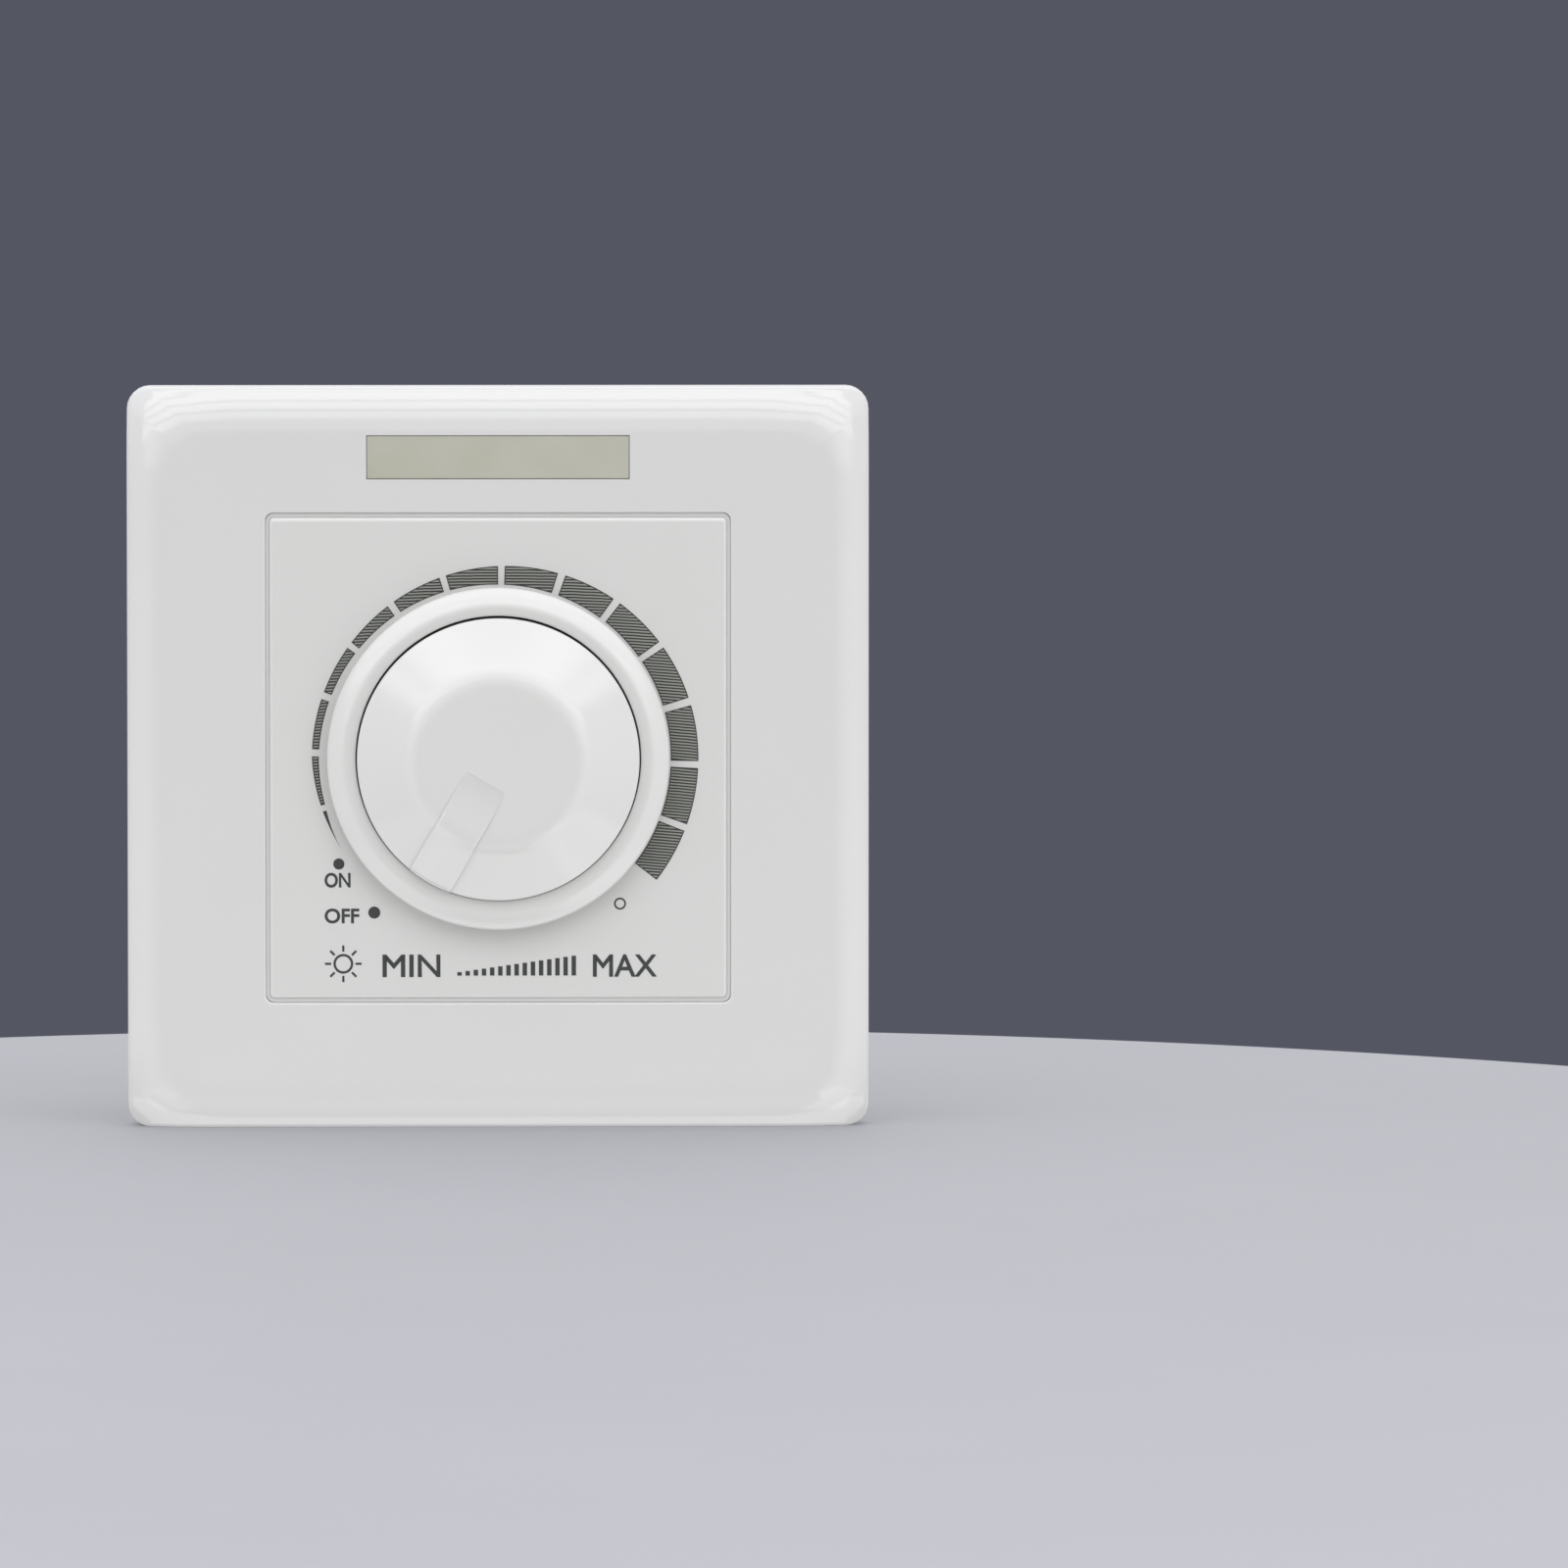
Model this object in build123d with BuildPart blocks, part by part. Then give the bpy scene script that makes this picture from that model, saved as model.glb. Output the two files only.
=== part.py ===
from build123d import *
from math import cos, radians, sin
import os

# Rotary dimmer for a square wall plate. All sizes are in millimetres.
# X points right, Z up and Y into the wall. The wall's surface is the plane Y = 0, so a level is
# a distance out of the wall, towards the room, and a depth is a distance into the wall box.
# The origin is midway between the two screws that hold the dimmer to its box.

os.makedirs("parts", exist_ok=True)

# Clearances
slide_gap = 0.3
seat_gap = 0.02
run_gap = 0.05
lead_gap = 0.1

# Outer frame, a pillowed square cover
frame_size = 86.0
frame_corner_r = 2.5
front_level = 9.0
frame_wall = 2.0
frame_rim_r = 0.7
pillow_margin = 6.5
pillow_r = 12.0
pillow_corner_r = 16.0
cavity_corner_r = 4.0
cavity_edge_r = 2.5
side_band = 16.05
end_band = 14.575
window_corner_r = 1.0
window_edge_r = 0.3
window_skirt = 1.4
window_skirt_level = 4.8
snap_arm_w = 7.0
snap_arm_t = 1.2
snap_arm_x = 24.0
snap_arm_level = 0.8
snap_bump = 0.3
snap_bump_level = 2.0

# Locator strip, the translucent bar above the controls
strip_w = 30.5
strip_h = 5.1
strip_margin = 5.6
strip_gap = 0.1
strip_recess = 0.12
strip_lip = 0.5
strip_lip_t = 0.8
strip_edge_r = 0.15

# Front panel with the collar that rings the knob
panel_side_gap = 0.4
panel_end_gap = 0.5
panel_corner_r = 0.7
panel_edge_r = 0.45
panel_front_wall = 2.0
panel_side_wall = 1.6
collar_bore_r = 16.6
collar_inner_w = 0.5
collar_outer_w = 2.6
collar_lip_level = 11.6
collar_crest_level = 12.0
dish_floor_level = 5.2
dish_floor_t = 1.6
dish_wall = 1.6
panel_leg_w = 5.0
panel_leg_t = 1.4
panel_leg_z = 14.0
panel_hook = 0.6
panel_hook_t = 0.9
panel_hook_level = 0.25

# Mounting plate
plate_edge_gap = 2.4
plate_corner_r = 3.5
plate_t = 2.5
plate_rib_w = 1.6
plate_rib_level = 4.0
plate_ledge = 0.3
plate_ledge_h = 1.0
box_screw_spacing = 60.3
box_slot_w = 4.4
box_slot_l = 6.4
box_head_r = 3.5
box_head_sink = 0.8
post_r = 2.8
rim_groove = 0.8

# Rear housing
housing_w = 50.0
housing_h = 52.0
housing_wall = 1.6
housing_floor_t = 1.8
housing_floor_gap = 1.1
housing_corner_r = 2.0
housing_edge_r = 0.8
column_r = 3.0
column_gap = 0.4
vent_w = 1.6
vent_l = 13.0
vent_pitch = 4.0
vent_count = 5
vent_depth = 12.5
housing_screw_r = 1.25
housing_screw_l = 22.0
housing_head_r = 2.3
housing_head_h = 1.7
housing_head_sink = 2.0
housing_slot_w = 0.6
housing_slot_l = 3.0
housing_slot_d = 0.7

# Circuit board and the leads that go through it
board_gap = 0.8
board_t = 1.6
board_corner_r = 1.0
lead_r = 0.35
lead_tail = 0.5
lead_bend_r = 0.7
pin_tail = 1.0

# Potentiometer
shaft_r = 3.0
bushing_wall = 0.5
bushing_l = 4.6
pot_flange_size = 17.0
pot_flange_t = 1.0
pot_flange_corner_r = 1.5
pot_tab_w = 2.6
pot_tab_t = 1.0
pot_tab_r = 7.6
pot_tab_h = 1.2
can_inset = 0.25
can_t = 0.5
can_depth = 4.4
washer_r = 5.5
washer_t = 0.5
washer_teeth = 12
washer_notch_r = 0.45
nut_flats = 10.0
nut_t = 2.0
clip_r = 4.5
clip_t = 0.5
clip_groove = 0.6
clip_mouth = 3.4
track_gap = 0.35
track_t = 1.0
terminal_overlap = 0.8
terminal_w = 1.4
terminal_t = 0.5
terminal_pitch = 5.0
terminal_z = 10.2
wiper_disc_r = 6.2
wiper_disc_t = 3.6
wiper_leaf_w = 2.0
wiper_leaf_t = 0.3
wiper_touch = 0.15

# Rotary mains switch behind the potentiometer
switch_h = 5.8
switch_wall = 1.0
switch_disc_r = 6.3
switch_disc_t = 2.6
bridge_w = 2.0
bridge_t = 0.4
bridge_pad_r = 0.4
contact_inner_r = 3.9
contact_side_gap = 0.65
contact_t = 0.6
contact_start = 25.0
contact_end = 305.0
contact_split = 0.9
switch_pin_r = 0.5
outer_pin_angle = 60.0
inner_pin_angle = 120.0

# Knob
knob_gap = 0.3
knob_crown_level = 16.0
knob_crown_r = 9.9
knob_crown_blend_r = 6.5
knob_rim_drop = 2.7
knob_rim_r = 0.7
knob_wall = 1.6
knob_cap_t = 3.1
knob_hub_r = 5.2
knob_web_t = 1.0
knob_web_count = 6
knob_web_rise = 1.0
pointer_angle = 29.5
pointer_w = 5.3
pointer_start_r = 2.9
pointer_rise = 0.4
pointer_proud = 0.15
pointer_foot_drop = 3.6
pointer_edge_r = 0.15
pointer_root = 0.5
shaft_end_drop = 2.0
shaft_flat = 1.5
shaft_chamfer = 0.3
hub_spring_gap = 0.45
hub_spring_t = 0.3
hub_spring_w = 3.6

# Terminal block for the four wires
pole_count = 4
pole_pitch = 5.1
block_end_wall = 0.2
block_z_size = 9.5
block_height = 12.3
wire_bore_r = 1.7
wire_bore_l = 2.4
wire_rise = 4.2
clamp_w = 3.7
clamp_z_size = 4.3
clamp_h = 6.2
clamp_gap = 0.15
clamp_window_w = 2.8
clamp_window_h = 3.4
clamp_screw_r = 1.25
clamp_screw_l = 4.6
clamp_head_r = 1.8
clamp_head_h = 1.6
clamp_head_sink = 0.6
clamp_base = 0.9
clamp_slot_w = 0.6
clamp_slot_d = 0.7
window_clear = 0.3

# Parts on the board
capacitor_at = (-13.0, 11.5)
capacitor_r = 4.0
capacitor_h = 11.0
capacitor_pitch = 3.5
capacitor_neck_at = 1.6
capacitor_neck_h = 0.6
capacitor_neck_d = 0.3
capacitor_edge_r = 0.5
film_at = (-13.5, -3.0)
film_w = 10.0
film_t = 5.0
film_h = 9.0
film_pitch = 7.5
film_corner_r = 0.6
transistor_at = (13.0, 13.0)
transistor_w = 8.0
transistor_t = 3.2
transistor_h = 10.8
transistor_hole_r = 1.6
transistor_hole_at = 7.6
transistor_pitch = 2.3
transistor_rise = 1.2
rectifier_edge_gap = 1.7
rectifier_w = 14.5
rectifier_t = 3.6
rectifier_h = 9.5
rectifier_pitch = 3.8
rectifier_chamfer = 1.5
fuse_at = (13.8, -2.0)
fuse_r = 4.1
fuse_h = 7.5
fuse_pitch = 5.0
fuse_chamfer = 0.4
resistor_at = [(1.5, -4.6), (1.5, -1.5), (1.5, 1.6)]
resistor_r = 1.15
resistor_l = 6.2
resistor_span = 9.6
zener_at = (1.5, -7.4)
zener_r = 0.9
zener_l = 4.0
zener_span = 7.6
standoff = 0.1

# Levels and sizes that follow from the ones above
window_w = frame_size - 2 * side_band
window_h = frame_size - 2 * end_band
strip_z = frame_size / 2 - strip_margin - strip_h / 2
panel_w = window_w - 2 * panel_side_gap
panel_h = window_h - 2 * panel_end_gap
plate_size = frame_size - 2 * frame_wall - 2 * plate_edge_gap
dish_back_level = dish_floor_level - dish_floor_t
cover_level = front_level - frame_wall
collar_crest_r = collar_bore_r + collar_inner_w
collar_foot_r = collar_crest_r + collar_outer_w
knob_r = collar_bore_r - knob_gap
knob_rim_level = knob_crown_level - knob_rim_drop
knob_cap_level = knob_crown_level - knob_cap_t
shaft_end_level = knob_crown_level - shaft_end_drop
bushing_r = shaft_r + bushing_wall
can_r = pot_flange_size / 2 - can_inset
track_r = can_r - can_t - track_gap
contact_outer_r = can_r - switch_wall - contact_side_gap
switch_depth = can_depth + switch_h
board_depth = switch_depth + board_gap
board_back = board_depth + board_t
tallest_part = max(
    transistor_rise + transistor_h, standoff + capacitor_h, standoff + film_h, standoff + rectifier_h
)
housing_depth = board_back + tallest_part + housing_floor_gap + housing_floor_t
housing_inner_w = housing_w - 2 * housing_wall
housing_inner_h = housing_h - 2 * housing_wall
housing_floor = housing_depth - housing_floor_t
board_w = housing_inner_w - 2 * slide_gap
board_h = housing_inner_h - 2 * slide_gap
block_w = pole_count * pole_pitch + 2 * block_end_wall
block_low_z = -board_h / 2
block_mid_z = block_low_z + block_z_size / 2
block_back = board_back + block_height
nut_back_level = dish_floor_level + washer_t
bushing_front_level = dish_back_level + bushing_l
clip_back_level = bushing_front_level + run_gap
hub_back_level = clip_back_level + clip_t + slide_gap
flange_back_level = dish_back_level - pot_flange_t
leg_hole_w = panel_leg_w + 2 * slide_gap
leg_mid_x = panel_w / 2 - panel_leg_t / 2
post_x = housing_inner_w / 2 - column_gap - column_r
post_z = housing_inner_h / 2 - column_gap - column_r
posts = [(x, z) for x in (-post_x, post_x) for z in (-post_z, post_z)]
screw_end_depth = housing_depth - housing_head_sink - housing_screw_l
rectifier_at = (0.0, board_h / 2 - rectifier_edge_gap - rectifier_t / 2)
poles = [(i - (pole_count - 1) / 2) * pole_pitch for i in range(pole_count)]
pointer_polar = 270 - pointer_angle
contact_ring_w = (contact_outer_r - contact_inner_r - contact_split) / 2
outer_pin_r = contact_outer_r - contact_ring_w / 2
inner_pin_r = contact_inner_r + contact_ring_w / 2

# The half plane of a turned profile: its first coordinate is the radius, its second the level
profile = Plane(origin=(0, 0, 0), x_dir=(1, 0, 0), z_dir=(0, 0, -1))


def from_room(level):
    """The plane parallel to the wall at this level."""
    return Plane.XZ.offset(level)


def from_wall(depth):
    """The plane parallel to the wall at this depth inside the wall box."""
    return Plane.XZ.offset(-depth)


# Face frame: the front of a larger pillowed block, trimmed to the plate's square outline
with BuildPart() as face_frame:
    pillow_size = frame_size + 2 * pillow_margin
    with BuildSketch(from_wall(pillow_r)):
        RectangleRounded(pillow_size, pillow_size, pillow_corner_r)
    extrude(amount=pillow_r + front_level)
    fillet(face_frame.faces().sort_by(Axis.Y)[0].edges(), pillow_r)
    with BuildSketch(from_room(0)):
        RectangleRounded(frame_size, frame_size, frame_corner_r)
    extrude(amount=front_level, mode=Mode.INTERSECT)
    outline = face_frame.edges().filter_by(
        lambda e: e.center().Y < -1 and max(abs(e.center().X), abs(e.center().Z)) > frame_size / 2 - 1
    )
    rim = outline.filter_by(Axis.Y, reverse=True)
    fillet(rim, frame_rim_r)
    # The hollow behind the cover
    cavity_size = frame_size - 2 * frame_wall
    with BuildPart(mode=Mode.PRIVATE) as frame_cavity:
        with BuildSketch(from_room(0)):
            RectangleRounded(cavity_size, cavity_size, cavity_corner_r)
        extrude(amount=cover_level)
        fillet(frame_cavity.faces().sort_by(Axis.Y)[0].edges(), cavity_edge_r)
    add(frame_cavity.part, mode=Mode.SUBTRACT)
    # The skirt round the window, then the window through it
    with BuildSketch(from_room(window_skirt_level)):
        RectangleRounded(
            window_w + 2 * window_skirt, window_h + 2 * window_skirt, window_corner_r + window_skirt
        )
    extrude(amount=cover_level - window_skirt_level)
    with BuildSketch(from_room(0)):
        RectangleRounded(window_w, window_h, window_corner_r)
    extrude(amount=front_level, mode=Mode.SUBTRACT)
    window_edges = face_frame.faces().sort_by(Axis.Y)[0].inner_wires()[0].edges()
    fillet(window_edges, window_edge_r)
    # The slot for the locator strip
    with BuildSketch(from_room(0)):
        with Locations((0, strip_z)):
            Rectangle(strip_w, strip_h)
    extrude(amount=front_level, mode=Mode.SUBTRACT)
    # Four snap arms that reach past the mounting plate's edge
    arm_inner = plate_size / 2 + plate_ledge + slide_gap + snap_bump
    for side in (-1, 1):
        with BuildSketch(from_room(snap_arm_level)):
            arm_z = side * (arm_inner + snap_arm_t / 2)
            with Locations((-snap_arm_x, arm_z), (snap_arm_x, arm_z)):
                Rectangle(snap_arm_w, snap_arm_t)
        extrude(amount=cover_level - snap_arm_level)
        with BuildSketch(from_room(snap_arm_level)):
            bump_z = side * (arm_inner - snap_bump / 2)
            with Locations((-snap_arm_x, bump_z), (snap_arm_x, bump_z)):
                Rectangle(snap_arm_w, snap_bump)
        extrude(amount=snap_bump_level - snap_arm_level)
face_frame.part.label = "face_frame"
export_step(face_frame.part, "parts/face_frame.step")

# Locator strip: a bar that fills the slot, with a lip behind the cover
with BuildPart() as locator_strip:
    with BuildSketch(from_room(cover_level - strip_lip_t)):
        with Locations((0, strip_z)):
            Rectangle(strip_w + 2 * strip_lip, strip_h + 2 * strip_lip)
    extrude(amount=strip_lip_t)
    with BuildSketch(from_room(cover_level)):
        with Locations((0, strip_z)):
            Rectangle(strip_w - 2 * strip_gap, strip_h - 2 * strip_gap)
    extrude(amount=frame_wall - strip_recess)
    fillet(locator_strip.faces().sort_by(Axis.Y)[0].edges(), strip_edge_r)
locator_strip.part.label = "locator_strip"
export_step(locator_strip.part, "parts/locator_strip.step")

# Front panel: a shallow tray with a round collar and the dish that the knob sits in
with BuildPart() as front_panel:
    with BuildSketch(from_room(plate_t)):
        RectangleRounded(panel_w, panel_h, panel_corner_r)
    extrude(amount=front_level - plate_t)
    fillet(front_panel.faces().sort_by(Axis.Y)[0].edges(), panel_edge_r)
    with BuildSketch(from_room(plate_t)):
        Rectangle(panel_w - 2 * panel_side_wall, panel_h - 2 * panel_side_wall)
    extrude(amount=front_level - panel_front_wall - plate_t, mode=Mode.SUBTRACT)
    with BuildSketch(from_room(dish_back_level)):
        Circle(collar_bore_r + dish_wall)
    extrude(amount=front_level - panel_edge_r - dish_back_level)
    # Collar, rounded from its lip over the crest and down to its foot
    with BuildSketch(profile):
        with BuildLine():
            lip = (collar_bore_r, collar_lip_level)
            foot = (collar_foot_r, front_level)
            EllipticalCenterArc(
                (collar_crest_r, collar_lip_level),
                collar_crest_r - collar_bore_r,
                collar_crest_level - collar_lip_level,
                90,
                arc_size=90,
            )
            EllipticalCenterArc(
                (collar_crest_r, front_level),
                collar_foot_r - collar_crest_r,
                collar_crest_level - front_level,
                0,
                arc_size=90,
            )
            root_level = front_level - panel_edge_r
            Polyline(foot, (collar_foot_r, root_level), (collar_bore_r, root_level), lip)
        make_face()
    revolve(axis=Axis.Y)
    with BuildSketch(from_room(dish_floor_level)):
        Circle(collar_bore_r)
    extrude(amount=collar_crest_level - dish_floor_level, mode=Mode.SUBTRACT)
    # Holes for the potentiometer's bushing and its locating tab
    with BuildSketch(from_room(dish_back_level)):
        Circle(bushing_r + lead_gap)
        with Locations((0, pot_tab_r)):
            Rectangle(pot_tab_w + 2 * lead_gap, pot_tab_t + 2 * lead_gap)
    extrude(amount=dish_floor_t, mode=Mode.SUBTRACT)
    # Legs with hooks that hold the panel in the mounting plate
    for side in (-1, 1):
        with BuildSketch(from_room(panel_hook_level)):
            with Locations((side * leg_mid_x, -panel_leg_z), (side * leg_mid_x, panel_leg_z)):
                Rectangle(panel_leg_t, panel_leg_w)
        extrude(amount=plate_t - panel_hook_level)
        with BuildSketch(from_room(panel_hook_level)):
            hook_x = side * (panel_w / 2 + panel_hook / 2)
            with Locations((hook_x, -panel_leg_z), (hook_x, panel_leg_z)):
                Rectangle(panel_hook, panel_leg_w)
        extrude(amount=panel_hook_t)
front_panel.part.label = "front_panel"
export_step(front_panel.part, "parts/front_panel.step")

# Mounting plate: slots for the box screws, a square hole for the potentiometer, four posts
with BuildPart() as mounting_plate:
    with BuildSketch(from_room(0)):
        RectangleRounded(plate_size, plate_size, plate_corner_r)
    extrude(amount=plate_t)
    # A stiffening rib round the edge
    with BuildSketch(from_room(plate_t)):
        RectangleRounded(plate_size, plate_size, plate_corner_r)
        inner_size = plate_size - 2 * plate_rib_w
        RectangleRounded(inner_size, inner_size, plate_corner_r - plate_rib_w, mode=Mode.SUBTRACT)
    extrude(amount=plate_rib_level - plate_t)
    # Ledges that the frame's snap arms pass
    with BuildSketch(from_room(plate_rib_level - plate_ledge_h)):
        for side in (-1, 1):
            ledge_z = side * (plate_size / 2 + plate_ledge / 2 - seat_gap)
            with Locations((-snap_arm_x, ledge_z), (snap_arm_x, ledge_z)):
                Rectangle(snap_arm_w, plate_ledge + 2 * seat_gap)
    extrude(amount=plate_ledge_h)
    # The two slots, each in a shallow seat for the screw's head
    with BuildSketch(from_room(plate_t - box_head_sink)):
        with Locations((-box_screw_spacing / 2, 0), (box_screw_spacing / 2, 0)):
            SlotOverall(box_slot_l + 2 * box_head_r - box_slot_w, 2 * box_head_r)
    extrude(amount=box_head_sink, mode=Mode.SUBTRACT)
    with BuildSketch(from_room(0)):
        with Locations((-box_screw_spacing / 2, 0), (box_screw_spacing / 2, 0)):
            SlotOverall(box_slot_l, box_slot_w)
    extrude(amount=plate_t, mode=Mode.SUBTRACT)
    # The hole that the potentiometer and its flange go through
    with BuildSketch(from_room(0)):
        pot_hole_size = pot_flange_size + 4 * slide_gap
        RectangleRounded(pot_hole_size, pot_hole_size, pot_flange_corner_r)
    extrude(amount=plate_t, mode=Mode.SUBTRACT)
    # Openings for the panel's legs, wider behind for their hooks
    for side in (-1, 1):
        with BuildSketch(from_room(0)):
            with Locations((side * leg_mid_x, -panel_leg_z), (side * leg_mid_x, panel_leg_z)):
                Rectangle(panel_leg_t + 2 * slide_gap, leg_hole_w)
        extrude(amount=plate_t, mode=Mode.SUBTRACT)
        with BuildSketch(from_room(0)):
            hook_x = side * (panel_w / 2 + panel_hook / 2)
            with Locations((hook_x, -panel_leg_z), (hook_x, panel_leg_z)):
                Rectangle(panel_hook + 2 * slide_gap, leg_hole_w)
        extrude(amount=panel_hook_level + panel_hook_t + lead_gap, mode=Mode.SUBTRACT)
    # The groove behind for the rear housing's rim
    with BuildSketch(from_room(0)):
        RectangleRounded(housing_w + 2 * lead_gap, housing_h + 2 * lead_gap, housing_corner_r + lead_gap)
        Rectangle(housing_inner_w - 2 * lead_gap, housing_inner_h - 2 * lead_gap, mode=Mode.SUBTRACT)
    extrude(amount=rim_groove, mode=Mode.SUBTRACT)
    # Posts that carry the circuit board, drilled for the housing's screws
    with BuildSketch(from_wall(board_depth)):
        with Locations(*posts):
            Circle(post_r)
    extrude(amount=board_depth)
    with BuildSketch(from_wall(board_depth)):
        with Locations(*posts):
            Circle(housing_screw_r + run_gap)
    extrude(amount=board_depth - screw_end_depth + slide_gap, mode=Mode.SUBTRACT)
mounting_plate.part.label = "mounting_plate"
export_step(mounting_plate.part, "parts/mounting_plate.step")

# Rear housing: a box with vents, four screw columns and a window for the terminal block
with BuildPart() as rear_housing:
    rim_level = rim_groove
    with BuildSketch(from_wall(housing_depth)):
        RectangleRounded(housing_w, housing_h, housing_corner_r)
    extrude(amount=housing_depth + rim_level)
    fillet(rear_housing.faces().sort_by(Axis.Y)[-1].edges(), housing_edge_r)
    with BuildSketch(from_wall(housing_floor)):
        Rectangle(housing_inner_w, housing_inner_h)
    extrude(amount=housing_floor + rim_level, mode=Mode.SUBTRACT)
    with BuildSketch(from_wall(housing_floor)):
        with Locations(*posts):
            Circle(column_r)
    extrude(amount=housing_floor - board_back)
    with BuildSketch(from_wall(housing_depth)):
        with Locations(*posts):
            Circle(housing_screw_r + 2 * lead_gap)
    extrude(amount=housing_depth - board_back, mode=Mode.SUBTRACT)
    with BuildSketch(from_wall(housing_depth)):
        with Locations(*posts):
            Circle(housing_head_r + slide_gap)
    extrude(amount=housing_head_sink, mode=Mode.SUBTRACT)
    # The terminals show through the floor and through the lower wall
    with BuildSketch(from_wall(housing_depth)):
        with Locations((0, block_mid_z)):
            Rectangle(block_w + 2 * window_clear, block_z_size + 2 * window_clear)
    extrude(amount=housing_depth - board_back + window_clear, mode=Mode.SUBTRACT)
    with BuildSketch(Plane.XY.offset(-housing_h / 2)):
        with Locations((0, (board_back + housing_depth) / 2)):
            Rectangle(block_w + 2 * window_clear, housing_depth - board_back + 2 * window_clear)
    extrude(amount=housing_wall, mode=Mode.SUBTRACT)
    # Vents through the upper wall and through both sides
    rows = [(i - (vent_count - 1) / 2) * vent_pitch for i in range(vent_count)]
    with BuildSketch(Plane.XY.offset(housing_h / 2 - housing_wall)):
        with Locations(*[(row, vent_depth) for row in rows]):
            SlotOverall(vent_l, vent_w, rotation=90)
    extrude(amount=housing_wall, mode=Mode.SUBTRACT)
    with BuildSketch(Plane.YZ.offset(-housing_w / 2)):
        with Locations(*[(vent_depth, row) for row in rows]):
            SlotOverall(vent_l, vent_w)
    extrude(amount=housing_w, mode=Mode.SUBTRACT)
rear_housing.part.label = "rear_housing"
export_step(rear_housing.part, "parts/rear_housing.step")

# Four screws that clamp the housing and the board to the posts
with BuildPart() as housing_screws:
    seat_depth = housing_depth - housing_head_sink
    with BuildSketch(from_wall(seat_depth)):
        with Locations(*posts):
            Circle(housing_screw_r)
    extrude(amount=housing_screw_l)
    with BuildSketch(from_wall(seat_depth + housing_head_h)):
        with Locations(*posts):
            Circle(housing_head_r)
    extrude(amount=housing_head_h)
    with BuildSketch(from_wall(seat_depth + housing_head_h)):
        with Locations(*posts):
            Rectangle(housing_slot_l, housing_slot_w)
            Rectangle(housing_slot_w, housing_slot_l)
    extrude(amount=housing_slot_d, mode=Mode.SUBTRACT)
housing_screws.part.label = "housing_screws"
export_step(housing_screws.part, "parts/housing_screws.step")


def row_of_leads(at, count, pitch):
    """The places of a part's leads, in a row along X about its own place."""
    return [(at[0] + (i - (count - 1) / 2) * pitch, at[1]) for i in range(count)]


# Leads of the parts on the board, where they go through it
capacitor_leads = row_of_leads(capacitor_at, 2, capacitor_pitch)
film_leads = row_of_leads(film_at, 2, film_pitch)
transistor_leads = row_of_leads(transistor_at, 3, transistor_pitch)
rectifier_leads = row_of_leads(rectifier_at, 4, rectifier_pitch)
fuse_leads = row_of_leads(fuse_at, 2, fuse_pitch)
resistor_leads = [lead for at in resistor_at for lead in row_of_leads(at, 2, resistor_span)]
zener_leads = row_of_leads(zener_at, 2, zener_span)
block_leads = [(x, block_mid_z) for x in poles]
switch_pins = [
    (r * cos(radians(angle)), r * sin(radians(angle)))
    for r, angle in ((outer_pin_r, outer_pin_angle), (inner_pin_r, inner_pin_angle))
]
pot_pins = row_of_leads((0, -terminal_z), 3, terminal_pitch)
board_leads = (
    capacitor_leads + film_leads + transistor_leads + rectifier_leads
    + fuse_leads + resistor_leads + zener_leads + block_leads
)

# Circuit board
with BuildPart() as circuit_board:
    with BuildSketch(from_wall(board_back)):
        RectangleRounded(board_w, board_h, board_corner_r)
        with Locations(*posts):
            Circle(housing_screw_r + 2 * lead_gap, mode=Mode.SUBTRACT)
        with Locations(*board_leads):
            Circle(lead_r + lead_gap, mode=Mode.SUBTRACT)
        with Locations(*switch_pins):
            Circle(switch_pin_r + lead_gap, mode=Mode.SUBTRACT)
        with Locations(*pot_pins):
            Rectangle(terminal_w + 2 * lead_gap, terminal_t + 2 * lead_gap, mode=Mode.SUBTRACT)
    extrude(amount=board_t)
circuit_board.part.label = "circuit_board"
export_step(circuit_board.part, "parts/circuit_board.step")


def push_leads(points, top_depth):
    """Straight leads from a component's base at this depth, through the board, to their tails."""
    with BuildSketch(from_wall(top_depth)) as sections:
        with Locations(*points):
            Circle(lead_r)
    extrude(sections.sketch, amount=top_depth - board_depth + lead_tail)


# Electrolytic capacitor, a can with a pressed groove near its base
with BuildPart() as electrolytic_capacitor:
    base = board_back + standoff
    with BuildSketch(from_wall(base + capacitor_h)):
        with Locations(capacitor_at):
            Circle(capacitor_r)
    extrude(amount=capacitor_h)
    with BuildSketch(from_wall(base + capacitor_neck_at + capacitor_neck_h)):
        with Locations(capacitor_at):
            Circle(capacitor_r)
            Circle(capacitor_r - capacitor_neck_d, mode=Mode.SUBTRACT)
    extrude(amount=capacitor_neck_h, mode=Mode.SUBTRACT)
    fillet(electrolytic_capacitor.faces().sort_by(Axis.Y)[-1].edges(), capacitor_edge_r)
    push_leads(capacitor_leads, base)
electrolytic_capacitor.part.label = "electrolytic_capacitor"
export_step(electrolytic_capacitor.part, "parts/electrolytic_capacitor.step")

# Film capacitor
with BuildPart() as film_capacitor:
    with BuildSketch(from_wall(base + film_h)):
        with Locations(film_at):
            RectangleRounded(film_w, film_t, film_corner_r)
    extrude(amount=film_h)
    push_leads(film_leads, base)
film_capacitor.part.label = "film_capacitor"
export_step(film_capacitor.part, "parts/film_capacitor.step")

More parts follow.
